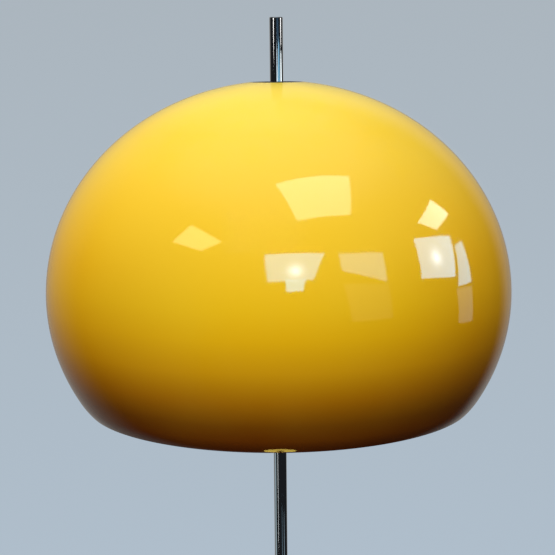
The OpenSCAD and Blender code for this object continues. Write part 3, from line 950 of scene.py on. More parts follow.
@dataclass
class Pole:
    """The chromed pole: two tubes that meet at a fine line, and the cap on its tip."""

    radius: float = 6.5
    bore: float = 5.3
    foot: float = 30.0
    joint: float = 805.0
    top: float = 1597.0
    tip: float = 1600.0
    cap_round: float = 1.0
    spigot_radius: float = 5.25
    spigot_length: float = 12.0
    exit_height: float = 1288.0
    exit_radius: float = 3.35
    exit_depth: float = 12.0
    steps: int = 128

    def tube(self, name: str, low: float, high: float) -> Piece:
        """Makes one tube with softened ends.

        Args:
            name: The piece's name.
            low: Height of its lower end.
            high: Height of its upper end.

        Returns:
            The tube.
        """
        section = box(self.bore, self.radius, low, high)
        return Bench.turn(name, section, self.steps, rounding=(0.25, 40.0, 2))

    def build(self) -> None:
        """Builds and dresses the pole."""
        edge = WornEdge(self.radius, self.joint, 1.0)
        chrome = replace(CHROME, name="chromium plate, pole", edges=(edge,))
        lower = self.tube("pole_lower_tube", self.foot, self.joint)
        Paintshop.deliver(lower, chrome, "chrome", Body.STAND, "lower_tube")

        upper = self.tube("pole_upper_tube", self.joint, self.top)
        drill = Bench.turn("exit_drill", box(0.0, self.exit_radius, 0.0, self.exit_depth), steps=32)
        Bench.tip(drill, -90.0, 0.0, self.exit_height)
        Bench.apply(upper, "BOOLEAN", operation="DIFFERENCE", object=drill, solver="EXACT")
        bpy.data.objects.remove(drill)
        Paintshop.deliver(upper, chrome, "chrome", Body.STAND, "upper_tube")

        spigot = self.top - self.spigot_length
        bend = (self.radius - self.cap_round, self.tip - self.cap_round)
        cap = Bench.turn("pole_tip_cap", [
            (0.0, spigot), (self.spigot_radius, spigot), (self.spigot_radius, self.top),
            (self.radius, self.top), *arc(bend, self.cap_round, 0.0, 90.0, 6), (0.0, self.tip),
        ], self.steps, closed=False)
        Paintshop.deliver(cap, CHROME, "chrome", Body.STAND, "pole_cap")


@dataclass
class Clamp:
    """The collar that grips the pole, its slip washer, and the screw with its grooved knob."""

    bore: float = 6.58
    radius: float = 14.0
    low: float = 1439.0
    height: float = 18.0
    washer: float = 1.5
    washer_inset: float = 1.0
    screw_height: float = 1448.0
    screw_radius: float = 2.5
    screw_depth: float = 0.45
    screw_pitch: float = 0.8
    screw_start: float = 9.65
    screw_end: float = 28.0
    neck_radius: float = 7.0
    neck_start: float = 17.0
    neck_overlap: float = 0.5
    grip_radius: float = 11.0
    grip_start: float = 20.0
    grip_end: float = 30.0
    grooves: int = 20
    groove_depth: float = 0.9
    points_per_groove: int = 8
    groove_steps: tuple[Point, Point] = ((0.2, 0.45), (0.06, 0.55))
    rim_share: float = 0.80
    dish_share: float = 0.91
    dish_depth: float = 0.7

    def knob(self) -> Piece:
        """Models the grooved knob upright on the Z axis.

        Returns:
            The knob, with its neck at the bottom.
        """
        count = self.grooves * self.points_per_groove
        grip = Bench.disc("clamp_knob_grip", count, self.grip_radius, self.grip_start)
        step = math.tau / self.grooves

        def near_groove(reach: float) -> Callable[[Vector, Vector], bool]:
            """Makes a test for the points within some reach of a groove, in shares of its spacing."""
            return lambda at, _: abs((math.atan2(at.y, at.x) / step + 0.5) % 1.0 - 0.5) < reach

        for reach, share in self.groove_steps:
            Bench.pick(grip, near_groove(reach), faces=False)
            Bench.narrow(1.0 - self.groove_depth * share / self.grip_radius, self.grip_start)
        bpy.ops.mesh.select_all(action="SELECT")
        Bench.rise(self.grip_end - self.grip_start)
        Bench.weld(grip)
        Bench.pick(grip, lambda at, out: out.z > 0.9)
        for share, sunk in ((self.rim_share, 0.0), (self.dish_share, self.dish_depth)):
            Bench.rise(-sunk)
            Bench.narrow(share, self.grip_end)
        bpy.ops.object.mode_set(mode="OBJECT")
        Bench.soften(grip, 0.45, angle=50.0)
        section = box(0.0, self.neck_radius, self.neck_start, self.grip_start + self.neck_overlap)
        neck = Bench.turn("clamp_knob_neck", section, steps=64, closed=False, rounding=(0.5,))
        return Bench.join(grip, neck)

    def build(self) -> None:
        """Builds and dresses the clamp."""
        top = self.low + self.height
        collar = Bench.turn("clamp_ring", box(self.bore, self.radius, self.low, top), rounding=(0.8,))
        edge = WornEdge(self.radius, self.low, 1.2)
        chrome = replace(CHROME, name="chromium plate, clamp", edges=(edge,))
        Paintshop.deliver(collar, chrome, "chrome", Body.CARRIAGE, "clamp_collar")

        section = box(self.bore, self.radius - self.washer_inset, top, top + self.washer)
        washer = Bench.turn("slip_washer", section, rounding=(0.2,))
        Paintshop.deliver(washer, NYLON, "nylon", Body.CARRIAGE, "thrust_washer")

        core = self.screw_radius - self.screw_depth
        ends = self.screw_start, self.screw_end
        stud = Bench.threaded("clamp_screw_thread", core, self.screw_radius, self.screw_pitch, *ends)
        Bench.tip(stud, 90.0, 0.0, self.screw_height)
        Paintshop.deliver(stud, ZINC, "zinc_steel", Body.SCREW, "clamp_stud", sharp=0.0)
        knob = self.knob()
        Bench.tip(knob, 90.0, 0.0, self.screw_height)
        Paintshop.deliver(knob, BLACK_PLASTIC, "black_plastic", Body.SCREW, "clamp_knob")


@dataclass
class Head:
    """What carries the dome: the hub, the cross bar, the carrier under the crown and its vent ring."""

    bore: float = 9.0
    hub_radius: float = 12.0
    foot_radius: float = 15.0
    shelf_radius: float = 18.0
    shelf_height: float = 4.0
    neck_radius: float = 10.5
    low: float = 1458.55
    foot_height: float = 4.0
    bar_low: float = 1493.0
    bar_thick: float = 3.0
    bar_half: float = 80.0
    bar_width: float = 24.0
    carrier_low: float = 1523.0
    carrier_thick: float = 4.0
    hub_top: float = 1533.0
    boss_radius: float = 16.0
    spoke_width: float = 9.0
    spokes: int = 3
    spigot_radius: float = 23.4
    collar_radius: float = 28.0
    flange_in: float = 24.5
    flange_out: float = 44.0
    flange_thick: float = 2.0
    flange_in_z: float = 1533.15
    flange_out_z: float = 1530.63
    ring_radius: float = 26.3
    ring_bore: float = 20.0
    ring_low: float = 1527.05
    ring_seat: float = 1536.50
    ring_top: float = 1537.62
    edge: float = 0.3
    fit: float = 0.05
    bar_fit: float = 0.1
    flange_drop: float = 0.4
    spoke_sunk: float = 0.1
    ring_wear: float = 0.2
    hair: float = 0.02
    spoke_in: float = 1.5
    spoke_out: float = 1.0

    def hub(self) -> None:
        """Turns the hub."""
        foot, shelf = self.low + self.foot_height, self.bar_low - self.shelf_height
        hub = Bench.turn("hub_turned", [
            (self.bore, self.low), (self.foot_radius, self.low), (self.foot_radius, foot),
            (self.hub_radius, foot), (self.hub_radius, shelf), (self.shelf_radius, shelf),
            (self.shelf_radius, self.bar_low), (self.hub_radius, self.bar_low),
            (self.hub_radius, self.carrier_low), (self.neck_radius, self.carrier_low),
            (self.neck_radius, self.hub_top), (self.bore, self.hub_top),
        ], rounding=(0.4,))
        Paintshop.deliver(hub, ALUMINIUM, "aluminium", Body.HEAD, "hub")

    def cross_bar(self) -> None:
        """Makes the bar that carries the two lampholders."""
        half = self.bar_width / 2
        bar = Bench.disc("cross_bar", 64, half, self.bar_low)
        for side in (-1, 1):
            Bench.pick(bar, lambda at, _, side=side: at.x * side > 1e-6, faces=False)
            bpy.ops.transform.translate(value=(side * (self.bar_half - half) * MM, 0.0, 0.0))
        bpy.ops.mesh.select_all(action="SELECT")
        Bench.rise(self.bar_thick)
        Bench.weld(bar)
        Bench.soften(bar, 0.5)
        # The middle lies a hair inside the bar's faces, so that the two never share a plane.
        low, high = self.bar_low + self.hair, self.bar_low + self.bar_thick - self.hair
        section = box(self.hub_radius + self.bar_fit, self.shelf_radius, low, high)
        middle = Bench.turn("cross_bar_middle", section, rounding=(0.4,))
        Paintshop.deliver(Bench.join(bar, middle), ZINC, "zinc_steel", Body.HEAD, "bridge_bar")

    def carrier(self) -> None:
        """Makes the spoked carrier that the crown rests on."""
        rounding = (0.4, 30.0, 2)
        inner = self.spigot_radius + self.fit
        low, top = self.carrier_low, self.carrier_low + self.carrier_thick
        flange = Bench.turn("dome_carrier", [
            (inner, low), (self.collar_radius, low),
            (self.collar_radius, self.flange_in_z - self.flange_thick - self.flange_drop),
            (self.flange_out, self.flange_out_z - self.flange_thick), (self.flange_out, self.flange_out_z),
            (self.flange_in, self.flange_in_z), (inner, self.flange_in_z),
        ], rounding=rounding)
        section = box(self.neck_radius + self.fit, self.boss_radius, low, top)
        parts = [flange, Bench.turn("carrier_boss", section, rounding=rounding)]
        start, end = self.boss_radius - self.spoke_in, self.spigot_radius + self.spoke_out
        place = Matrix.Translation(Vector(((start + end) / 2, 0.0, (low + top) / 2)) * MM)
        size = Matrix.Diagonal((end - start, self.spoke_width, self.carrier_thick - self.spoke_sunk, 1.0))
        for index in range(self.spokes):
            Bench.clear()
            bpy.ops.mesh.primitive_cube_add(size=MM)
            spoke = Bench.adopt("carrier_spoke")
            turn = Matrix.Rotation(math.radians(90.0 + 360.0 * index / self.spokes), 4, "Z")
            Bench.place(spoke, turn @ place @ size)
            Bench.soften(spoke, *rounding)
            parts.append(spoke)
        Paintshop.deliver(Bench.join(*parts), ZINC, "zinc_steel", Body.HEAD, "carrier")

    def vent_ring(self) -> None:
        """Turns the ring that lies flush round the crown's vent."""
        under = self.ring_top - self.edge
        ring = Bench.turn("crown_vent_ring", [
            (self.ring_bore, self.ring_low), (self.spigot_radius, self.ring_low),
            (self.spigot_radius, self.ring_seat), (self.ring_radius, self.ring_seat),
            (self.ring_radius, under), (self.ring_radius - self.edge, self.ring_top),
            (self.ring_bore + self.edge, self.ring_top), (self.ring_bore, under),
        ], steps=128, rounding=(0.12, 40.0, 2))
        edge = WornEdge(self.ring_bore + self.ring_wear, self.ring_top, 0.9)
        worn = replace(BLACK_PLASTIC, name="black plastic, vent ring", edges=(edge,))
        Paintshop.deliver(ring, worn, "black_plastic", Body.HEAD, "crown_ring")

    def build(self) -> None:
        """Builds and dresses the head's own pieces."""
        for make in (self.hub, self.cross_bar, self.carrier, self.vent_ring):
            make()


@dataclass
class Dome:
    """The shade: one acrylic shell with a rebated vent hole in its crown and a turned-in lip at its rim."""

    radius: float = 230.0
    crown_rise: float = 209.0
    widest_height: float = 1330.0
    skirt_depth: float = 111.5
    skirt_full: float = 205.0
    lip_height: float = 13.0
    lip_radius: float = 75.0
    wall: float = 3.0
    hole_radius: float = 24.0
    rebate_radius: float = 26.35
    rebate_depth: float = 1.2
    upper_steps: int = 56
    lower_steps: int = 24
    lip_steps: int = 7
    spin_steps: int = 224
    angles: tuple[float, float, float] = field(init=False)

    def __post_init__(self) -> None:
        """Works out where the skirt's ellipse turns into the lip's arc."""
        start = math.asin((self.skirt_depth - self.lip_height) / self.skirt_full)
        first = math.atan2(math.sin(start) / self.skirt_full, math.cos(start) / self.radius)
        last = math.asin(math.sin(first) + self.lip_height / self.lip_radius)
        self.angles = (start, first, last)

    def ellipse(self, angle: float, half: float, sign: int, depth: float) -> Point:
        """Gives a point of the half ellipse above or below the widest place.

        Args:
            angle: Angle from the widest place, in radians.
            half: The ellipse's half height.
            sign: 1 above the widest place, -1 below it.
            depth: How far inside the outer face the point lies.

        Returns:
            The point, as (radius, height above the widest place).
        """
        across, along = math.cos(angle) / self.radius, math.sin(angle) / half
        length = math.hypot(across, along)
        return (
            self.radius * math.cos(angle) - depth * across / length,
            sign * (half * math.sin(angle) - depth * along / length),
        )

    def lip(self, angle: float, depth: float) -> Point:
        """Gives a point of the lip.

        Args:
            angle: The arc's angle below the radius axis, in radians.
            depth: How far inside the outer face the point lies.

        Returns:
            The point, as (radius, height above the widest place).
        """
        start, first, _ = self.angles
        root = self.ellipse(start, self.skirt_full, -1, 0.0)
        centre = (root[0] - self.lip_radius * math.cos(first), root[1] + self.lip_radius * math.sin(first))
        reach = self.lip_radius - depth
        return centre[0] + reach * math.cos(angle), centre[1] - reach * math.sin(angle)

    def face(self, depth: float, first_radius: float) -> list[Point]:
        """Draws the shell's outer face, or one at some depth inside it.

        Args:
            depth: How far inside the outer face.
            first_radius: Radius on the outer face where the line starts.

        Returns:
            Points from the hole in the crown to the rim.
        """
        start, first, last = self.angles
        hole = math.acos(first_radius / self.radius)
        shares = [[i / n for i in range(n + 1)] for n in (self.upper_steps, self.lower_steps, self.lip_steps)]
        line = [self.ellipse(hole * (1 - share), self.crown_rise, 1, depth) for share in shares[0]]
        line += [self.ellipse(start * share, self.skirt_full, -1, depth) for share in shares[1][1:]]
        line += [self.lip(first + (last - first) * share, depth) for share in shares[2][1:]]
        return [(radius, height + self.widest_height) for radius, height in line]

    def build(self) -> None:
        """Builds and dresses the dome."""
        outer = self.face(0.0, self.rebate_radius)
        inner = self.face(self.wall, self.hole_radius)
        seat = outer[0][1] - self.rebate_depth
        section = [(self.hole_radius, seat), (self.rebate_radius, seat), *outer, *inner[::-1]]
        shell = Bench.turn("dome_shell", section, self.spin_steps, rounding=(0.35, 50.0, 2))
        Paintshop.deliver(shell, ACRYLIC, "yellow_acrylic", Body.HEAD, "shade", sharp=40.0)


@dataclass
class Lampholders:
    """The two lampholders under the cross bar and their bulbs."""

    distance: float = 60.0
    bar_low: float = 1493.0
    radius: float = 20.5
    top_radius: float = 10.0
    bore: float = 5.05
    slope: float = 12.0
    cap_height: float = 22.0
    cap_wall: float = 4.0
    skirt_height: float = 34.0
    wall: float = 2.0
    mouth: float = 14.5
    ledge: float = 15.5
    insert: float = 17.5
    insert_height: float = 12.0
    tip: float = 1456.95
    bulb_radius: float = 13.2
    bulb_cap: float = 25.0
    bulb_crown: float = 3.0
    button: float = 4.5
    pitch: float = 3.6
    neck_inset: float = 0.65
    neck_up: float = 8.0
    neck_down: float = 4.0
    thread_depth: float = 1.0
    button_sunk: float = 0.5
    button_inset: float = 1.2
    button_flare: float = 1.0
    button_drop: float = 2.0
    cap_inset: float = 1.0
    globe_radius: float = 30.0
    globe_height: float = 1379.95
    globe_open: float = 35.0

    def caps(self) -> None:
        """Turns the lampholders' caps and skirts."""
        top, seam = self.bar_low, self.bar_low - self.cap_height
        inside, under = self.radius - self.wall, top - self.cap_wall
        cap = Bench.turn("holder_cap_pair", [
            (self.bore, top), (self.top_radius, top), (self.radius, top - self.slope), (self.radius, seam),
            (inside, seam), (inside, top - self.slope - self.cap_inset),
            (self.top_radius - self.cap_inset, under), (self.bore, under),
        ], rounding=(0.7,))
        cap = Bench.pair(cap, self.distance)
        Paintshop.deliver(cap, BLACK_PLASTIC, "black_plastic", Body.HEAD, "holder_caps")

        low, rest = seam - self.skirt_height, seam - self.insert_height
        floor = low + self.wall
        skirt = Bench.turn("holder_skirt_pair", [
            (self.insert, seam), (self.radius, seam), (self.radius, low), (self.mouth, low),
            (self.mouth, floor), (self.ledge, floor), (self.ledge, rest), (self.insert, rest),
        ], rounding=(0.6,))
        skirt = Bench.pair(skirt, self.distance)
        Paintshop.deliver(skirt, BLACK_PLASTIC, "black_plastic", Body.HEAD, "holder_skirts")

    def bulbs(self) -> None:
        """Makes the bulbs: a threaded cap and an opal globe each."""
        low, crown = self.tip - self.bulb_cap, self.tip - self.bulb_crown
        core = self.bulb_radius - self.thread_depth
        screw = Bench.threaded("bulb_cap_pair", core, self.bulb_radius, self.pitch, low, crown)
        seat = crown - self.button_sunk
        button = Bench.turn("bulb_button", [
            (0.0, seat), (self.bulb_radius - self.button_inset, seat),
            (self.button + self.button_flare, self.tip - self.button_drop),
            (self.button, self.tip), (0.0, self.tip),
        ], steps=64, closed=False)
        Bench.smooth(button, SHARP)
        cap = Bench.pair(Bench.join(screw, button), self.distance)
        Paintshop.deliver(cap, ALUMINIUM, "aluminium", Body.HEAD, "bulb_caps", sharp=0.0)

        neck = self.bulb_radius - self.neck_inset
        start = 90.0 - self.globe_open - math.degrees(math.asin(neck / self.globe_radius))
        globe = Bench.turn("bulb_globe_pair", [
            (0.0, low + self.neck_up), (neck, low + self.neck_up), (neck, low - self.neck_down),
            *arc((0.0, self.globe_height), self.globe_radius, start, -90.0, 32),
        ], closed=False)
        globe = Bench.pair(globe, self.distance)
        Paintshop.deliver(globe, OPAL, "opal_glass", Body.HEAD, "bulb_globes", sharp=60.0)

    def build(self) -> None:
        """Builds and dresses both lampholders."""
        self.caps()
        self.bulbs()


# The studio

SECOND_MIRROR = 0.25
FADE_POWER = 3.0
SPARK_DISTANCE = 2.45
SPARK_COLOUR: Rgb = (0.85, 0.92, 1.0)
STRIP_DISTANCE = 2.2


def towards(azimuth: float, elevation: float) -> Vector:
    """Gives a direction from the lamp: degrees from the camera's side towards +X, and above the horizon."""
    a, e = math.radians(azimuth), math.radians(elevation)
    return Vector((math.sin(a) * math.cos(e), -math.cos(a) * math.cos(e), math.sin(e)))


def gathered(name: str, *pieces: str) -> bpy.types.Collection:
    """Gathers pieces in a collection for light linking.

    Args:
        name: The collection's name.
        pieces: The pieces' names.

    Returns:
        The collection.
    """
    group = bpy.data.collections.new(name)
    for piece in pieces:
        group.objects.link(bpy.data.objects[piece])
    return group


def gloss_light(
    card: Piece, radiance: float, colour: Rgb, receivers: bpy.types.Collection, fade: float = 0.0,
) -> None:
    """Makes a stage piece a light that only gloss shows and that hides nothing behind it.

    It is dimmer where a mirror shows another mirror.

    Args:
        card: The stage piece.
        radiance: Its strength.
        colour: Its colour.
        receivers: The only pieces that show it.
        fade: How far from its middle it ends softly, in metres, or 0 for an even card.
    """
    graph = MaterialGraph(card.name)
    bounces = graph.node("LightPath").outputs["Ray Depth"]
    strength = graph.remap(bounces, (1.0, 2.0), (radiance, radiance * SECOND_MIRROR))
    if fade:
        middle = sum((vertex.co for vertex in card.data.vertices), Vector()) / len(card.data.vertices)
        away = graph.node("VectorMath", {0: graph.place, 1: middle}, operation="DISTANCE")
        near = graph.remap(away.outputs["Value"], (0.0, fade), (1.0, 0.0))
        strength = graph.times(strength, graph.math("POWER", near, FADE_POWER))
    light = graph.node("Emission", {"Color": (*colour, 1.0), "Strength": strength})
    both = {0: light.outputs[0], 1: graph.node("BsdfTransparent").outputs[0]}
    card.data.materials.append(graph.finish(graph.node("AddShader", both).outputs[0]))
    card.visible_camera = card.visible_diffuse = card.visible_transmission = False
    card.visible_shadow = card.visible_volume_scatter = False
    card.light_linking.receiver_collection = receivers


@dataclass(frozen=True)
class Softbox:
    """An area lamp that faces the shade. Distances are in metres."""

    name: str
    azimuth: float
    elevation: float
    width: float
    height: float
    radiance: float
    distance: float = 2.6
    colour: Rgb = WHITE
    shape: str = "RECTANGLE"

    def build(self, aim: Vector) -> None:
        """Hangs the lamp.

        Args:
            aim: The place that it faces.
        """
        lamp = bpy.data.lights.new(self.name, "AREA")
        lamp.shape = self.shape
        lamp.size, lamp.size_y = self.width, self.height
        area = self.width * self.height * (math.pi / 4 if self.shape == "DISK" else 1.0)
        lamp.energy = self.radiance * math.pi * area
        lamp.color = self.colour
        case = bpy.data.objects.new(self.name, lamp)
        bpy.context.scene.collection.objects.link(case)
        out = towards(self.azimuth, self.elevation)
        case.location = aim + out * self.distance
        case.rotation_euler = out.to_track_quat("Z", "Y").to_euler()
        case.visible_camera = case.visible_glossy = False


@dataclass(frozen=True)
class Card:
    """A bright card that only gloss shows. Corners are metres across and up, facing the lamp."""

    name: str
    azimuth: float
    elevation: float
    corners: tuple[Point, Point, Point, Point]
    radiance: float
    distance: float
    colour: Rgb
    fade: float = 0.0

    @classmethod
    def spark(cls, name: str, azimuth: float, elevation: float, half: float, radiance: float) -> "Card":
        """Makes a small bluish bright place with a soft end, with half its width in metres."""
        corners = ((half, half), (-half, half), (-half, -half), (half, -half))
        return cls(name, azimuth, elevation, corners, radiance, SPARK_DISTANCE, SPARK_COLOUR, half)

    @classmethod
    def strip(
        cls, name: str, azimuth: float, half: float, ends: Point, radiance: float, colour: Rgb,
        foot: float = 1.0, head: float = 1.0,
    ) -> "Card":
        """Makes an upright strip that the pole shows as a line.

        Args:
            name: The card's name.
            azimuth: Its middle, in degrees.
            half: Half its width, in metres.
            ends: Heights of its foot and its top above the aim, in metres.
            radiance: Its strength.
            colour: Its colour.
            foot: Share of the width that its foot has.
            head: Share of the width that its top has.

        Returns:
            The card.
        """
        low, high = half * foot, half * head
        corners = ((-low, ends[0]), (low, ends[0]), (high, ends[1]), (-high, ends[1]))
        return cls(name, azimuth, 0.0, corners, radiance, STRIP_DISTANCE, colour)

    def build(self, aim: Vector, receivers: bpy.types.Collection) -> None:
        """Sets the card up.

        Args:
            aim: The place that it faces.
            receivers: The only pieces that show it.
        """
        Bench.clear()
        bpy.ops.mesh.primitive_plane_add(size=1.0)
        card = Bench.adopt(self.name)
        out = towards(self.azimuth, self.elevation)
        across = out.cross(Vector((0.0, 0.0, 1.0))).normalized()
        up = across.cross(out)
        for vertex, corner in zip((0, 1, 3, 2), self.corners):
            card.data.vertices[vertex].co = aim + out * self.distance + across * corner[0] + up * corner[1]
        gloss_light(card, self.radiance, self.colour, receivers, self.fade)


GLINTS = (
    Card("top_glint", 34.0, 60.4, ((0.527, 0.595), (-0.772, 0.356), (-0.389, -0.548), (0.634, -0.403)),
         5.3, 2.483, (0.80, 1.0, 0.76)),
    Card("left_glint", -44.8, 35.5, ((0.480, -0.149), (0.245, 0.280), (-0.527, 0.088), (-0.198, -0.219)),
         5.4, 2.563, (1.0, 0.96, 0.50)),
    Card("right_glint", 95.7, 29.3, ((-0.266, 0.202), (-0.431, -0.163), (0.193, -0.183), (0.504, 0.144)),
         8.4, 2.568, (0.85, 1.0, 0.85)),
    Card("front_glint", 6.7, 25.1, ((0.527, 0.315), (-0.637, 0.315), (-0.399, -0.310), (0.508, -0.319)),
         9.0, 2.527, (0.08, 0.60, 1.0)),
    Card("front_glint_low", 7.5, 15.5, ((0.188, 0.140), (-0.208, 0.126), (-0.159, -0.128), (0.179, -0.139)),
         11.6, 2.590, (0.05, 0.62, 1.0)),
    Card.spark("front_spark", 8.0, 23.0, 0.34, 20.0),
    Card("front_right_glint", 41.4, 22.8,
         ((0.434, 0.334), (-0.475, 0.172), (-0.426, -0.450), (0.467, -0.057)),
         4.2, 2.544, (0.28, 0.73, 1.0)),
    Card("front_right_low", 41.3, 4.3, ((0.492, 0.457), (-0.423, 0.314), (-0.446, -0.385), (0.381, -0.383)),
         0.35, 2.431, (0.8, 0.9, 1.0)),
    Card("far_right_glint", 82.7, 16.2, ((0.352, 0.504), (-0.601, 0.202), (-0.342, -0.454), (0.591, -0.253)),
         10.2, 2.526, (0.26, 0.66, 1.0)),
    Card.spark("right_spark", 81.8, 16.3, 0.34, 16.0),
    Card("right_sliver", 98.1, 8.9, ((0.055, 0.331), (-0.234, 0.309), (-0.141, -0.333), (0.319, -0.308)),
         7.1, 2.571, (0.26, 0.68, 1.0)),
    Card("right_sliver_low", 95.4, -5.4, ((0.263, 0.302), (-0.227, 0.244), (-0.239, -0.281), (0.203, -0.265)),
         1.2, 2.474, (0.60, 0.84, 1.0)),
)
STRIPS = (
    Card.strip("warm_line", -47.0, 0.28, (0.18, 0.36), 2.4, (1.0, 0.99, 0.95), foot=0.1),
    Card.strip("navy_band", 22.0, 0.62, (0.225, 0.34), 0.10, (0.25, 0.60, 1.0)),
    Card.strip("white_band", 10.0, 0.26, (0.09, 0.212), 2.2, (0.74, 0.90, 1.0), head=0.3),
    Card.strip("blue_band", 42.0, 0.66, (0.09, 0.225), 0.85, (0.34, 0.72, 1.0), head=0.5),
    Card.strip("white_line", 85.0, 0.42, (0.09, 0.200), 2.6, (0.90, 0.98, 1.0), head=0.5),
    Card.strip("white_line_top", 85.0, 0.34, (0.215, 0.36), 2.6, (1.0, 0.99, 0.97), foot=0.3),
    Card.strip("low_thin_line", -45.0, 0.16, (-1.08, -0.80), 1.5, (0.95, 1.0, 1.0), foot=0.3, head=0.6),
    Card.strip("low_left_haze", -100.0, 0.66, (-1.30, -0.78), 0.40, (0.72, 0.92, 1.0)),
    Card.strip("low_blue_wide", 62.0, 0.42, (-1.32, -1.00), 0.30, (0.60, 0.84, 1.0), head=0.3),
    Card.strip("low_blue_thin", 23.0, 0.26, (-1.32, -0.98), 0.24, (0.50, 0.80, 1.0), head=0.3),
)
SOFTBOXES = (
    Softbox("key", -8.0, 44.0, 1.6, 1.1, 11.0, colour=(1.0, 0.995, 0.98)),
    Softbox("front_fill", -10.0, 28.0, 1.5, 0.9, 0.6),
    Softbox("right_fill", 70.0, 30.0, 1.2, 1.2, 1.15),
    Softbox("left_top", -130.0, 46.0, 1.0, 1.0, 7.4),
    Softbox("right_top", 128.0, 44.0, 1.0, 0.8, 3.8),
    Softbox("back", 180.0, 34.0, 1.6, 1.1, 5.8),
    Softbox("back_left", -122.0, 18.0, 1.1, 1.2, 3.6),
    Softbox("back_right", 130.0, 18.0, 1.1, 1.2, 3.1),
    Softbox("mouth_lamp", 0.0, -90.0, 0.36, 0.36, 0.55, 0.138, shape="DISK"),
)


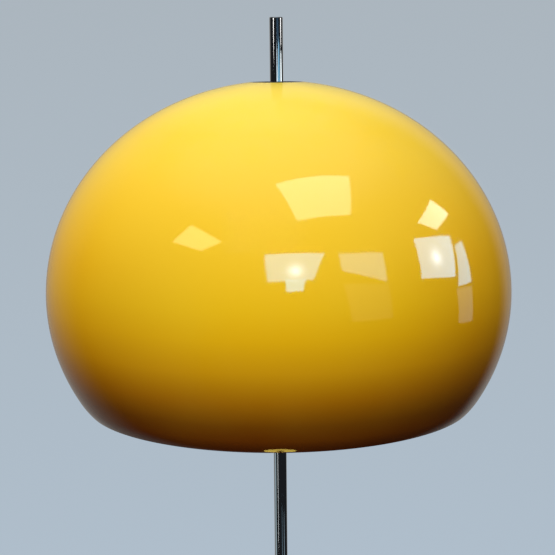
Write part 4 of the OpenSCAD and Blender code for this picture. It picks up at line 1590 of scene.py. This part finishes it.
@dataclass
class Studio:
    """The plain floor and background, the lamps, the cards that gloss shows, and the camera."""

    aim: Vector = field(default_factory=lambda: Vector((0.0, 0.0, 1.36)))
    floor_radius: float = 2.5
    floor_sunk: float = 0.5
    floor_fade: Point = (0.9, 2.4)
    pale: Rgb = (0.410, 0.467, 0.518)
    pale_low: Rgb = (0.430, 0.515, 0.600)
    dim: Rgb = (0.012, 0.013, 0.015)
    behind: Rgb = (0.290, 0.282, 0.265)
    dim_side: Point = (0.28, 0.93)
    dim_more: Point = (0.38, 0.06)
    overhead: Point = (0.70, 0.99)
    horizon: Point = (0.03, -0.36)
    glow: Rgb = (1.0, 0.76, 0.14)
    glow_radiance: float = 4.4
    glow_ring: tuple[float, float] = (25.0, 98.0)
    glow_height: float = 32.5
    ambient: Rgb = (0.055, 0.055, 0.057)
    floor_colour: Rgb = (0.70, 0.74, 0.77)
    floor_bounce: Rgb = (0.070, 0.045, 0.025)
    lens: float = 92.1
    sensor: float = 36.0
    camera_place: tuple[float, float, float] = (-0.0010, -1.400, 1.571)
    camera_down: float = 9.21
    camera_roll: float = -0.56

    def plainly_seen(self, graph: Graph) -> Socket:
        """Tells which rays see the background: the camera's, and those through gloss and glass.

        Args:
            graph: The graph to work in.

        Returns:
            1 for such rays and 0 for the others.
        """
        path = graph.node("LightPath").outputs
        seen = graph.math("MAXIMUM", path["Is Camera Ray"], path["Is Glossy Ray"])
        return graph.math("MAXIMUM", seen, path["Is Transmission Ray"])

    def side_tone(self, graph: Graph, back: object, right: object, above: object) -> Socket:
        """Gives what gloss shows in a direction: dim in front, pale behind and overhead.

        Args:
            graph: The graph to work in.
            back: The direction's share along +Y.
            right: Its share along +X.
            above: Its share along +Z.

        Returns:
            The colour.
        """
        side = graph.math("GREATER_THAN", right, 0.0)
        first = graph.math("ADD", self.dim_side[0], graph.times(side, self.dim_more[0]))
        last = graph.math("SUBTRACT", self.dim_side[1], graph.times(side, self.dim_more[1]))
        behind = graph.remap(back, (first, last), kind="SMOOTHSTEP")
        over = graph.remap(above, self.overhead, kind="SMOOTHSTEP")
        return graph.mix(over, graph.mix(behind, self.dim, self.behind), self.pale)

    def world(self) -> None:
        """Sets the pale background, with a dim side in front for gloss, and the soft light all round."""
        world = bpy.data.worlds.new("pale studio")
        world.use_nodes = True
        graph = Graph(world.node_tree)
        right, back, above = graph.parts(graph.node("TexCoord").outputs["Generated"])
        backdrop = graph.mix(graph.remap(above, self.horizon), self.pale, self.pale_low)
        camera = graph.node("LightPath").outputs["Is Camera Ray"]
        shown = graph.mix(camera, self.side_tone(graph, back, right, above), backdrop)
        colour = graph.mix(self.plainly_seen(graph), self.ambient, shown)
        light = graph.node("Background", {"Color": colour, "Strength": 1.0})
        graph.node("OutputWorld", {"Surface": light.outputs[0]})
        bpy.context.scene.world = world

    def floor(self) -> None:
        """Lays the pale floor, which keeps the shadow, fades out at its edge and is clear from beneath."""
        floor = Bench.disc("studio_floor", 128, self.floor_radius / MM, -self.floor_sunk)
        graph = MaterialGraph("pale floor")
        right, back, _ = graph.parts(graph.place)
        distance, _ = graph.round_place(graph.place)
        share = graph.math("DIVIDE", back, graph.math("MAXIMUM", distance, 0.01))
        mirrored = graph.mix(
            self.plainly_seen(graph), self.floor_bounce, self.side_tone(graph, share, right, 0.0),
        )
        camera = graph.node("LightPath").outputs["Is Camera Ray"]
        lit = graph.mix(camera, mirrored, self.floor_colour)
        cloud = graph.remap(graph.noise(graph.place, 3.0, 5.0), (0.3, 0.7), (0.96, 1.04))
        toned = graph.node("VectorMath", {0: lit, 3: cloud}, operation="SCALE").outputs[0]
        matt = graph.node("BsdfDiffuse", {"Color": toned})
        clear = graph.node("BsdfTransparent")
        edge = graph.remap(distance, self.floor_fade)
        fade = graph.math("MAXIMUM", edge, graph.node("NewGeometry").outputs["Backfacing"])
        surface = graph.node("MixShader", {0: fade, 1: matt.outputs[0], 2: clear.outputs[0]})
        floor.data.materials.append(graph.finish(surface.outputs[0]))

    def foot_glow(self, receivers: bpy.types.Collection) -> None:
        """Lays a bright ring on the base that the dome's lip mirrors.

        Args:
            receivers: The pieces that show it.
        """
        line = [(radius, self.glow_height) for radius in self.glow_ring]
        ring = Bench.turn("foot_glow", line, steps=64, closed=False)
        gloss_light(ring, self.glow_radiance, self.glow, receivers)

    def camera(self) -> None:
        """Sets the camera at the photograph's place."""
        data = bpy.data.cameras.new("photo_camera")
        data.lens, data.sensor_width = self.lens, self.sensor
        camera = bpy.data.objects.new("photo_camera", data)
        bpy.context.scene.collection.objects.link(camera)
        down = Matrix.Rotation(math.radians(90.0 - self.camera_down), 4, "X")
        roll = Matrix.Rotation(math.radians(self.camera_roll), 4, "Z")
        camera.matrix_world = Matrix.Translation(self.camera_place) @ down @ roll
        bpy.context.scene.camera = camera

    def build(self) -> None:
        """Builds the whole studio."""
        bpy.context.scene.view_settings.view_transform = "Standard"
        self.world()
        self.floor()
        for lamp in SOFTBOXES:
            lamp.build(self.aim)
        dome = gathered("acrylic dome", "dome_shell")
        for glint in GLINTS:
            glint.build(self.aim, dome)
        plated = gathered("plated pole", "pole_lower_tube", "pole_upper_tube", "pole_tip_cap")
        for strip in STRIPS:
            strip.build(self.aim, plated)
        self.foot_glow(dome)
        self.camera()
        LOG.info("studio: %d lamps, %d cards", len(SOFTBOXES), len(GLINTS) + len(STRIPS) + 1)


def main() -> None:
    """Builds the lamp and its studio, in order."""
    logging.basicConfig(level=logging.INFO, format="%(name)s: %(message)s")
    Paintshop.dress_frame()
    for part in (Base(), Pole(), Clamp(), Head(), Dome(), Lampholders()):
        part.build()
        LOG.info("%s built", type(part).__name__)
    Studio().build()
    Bench.clear()


if __name__ == "__main__":
    main()
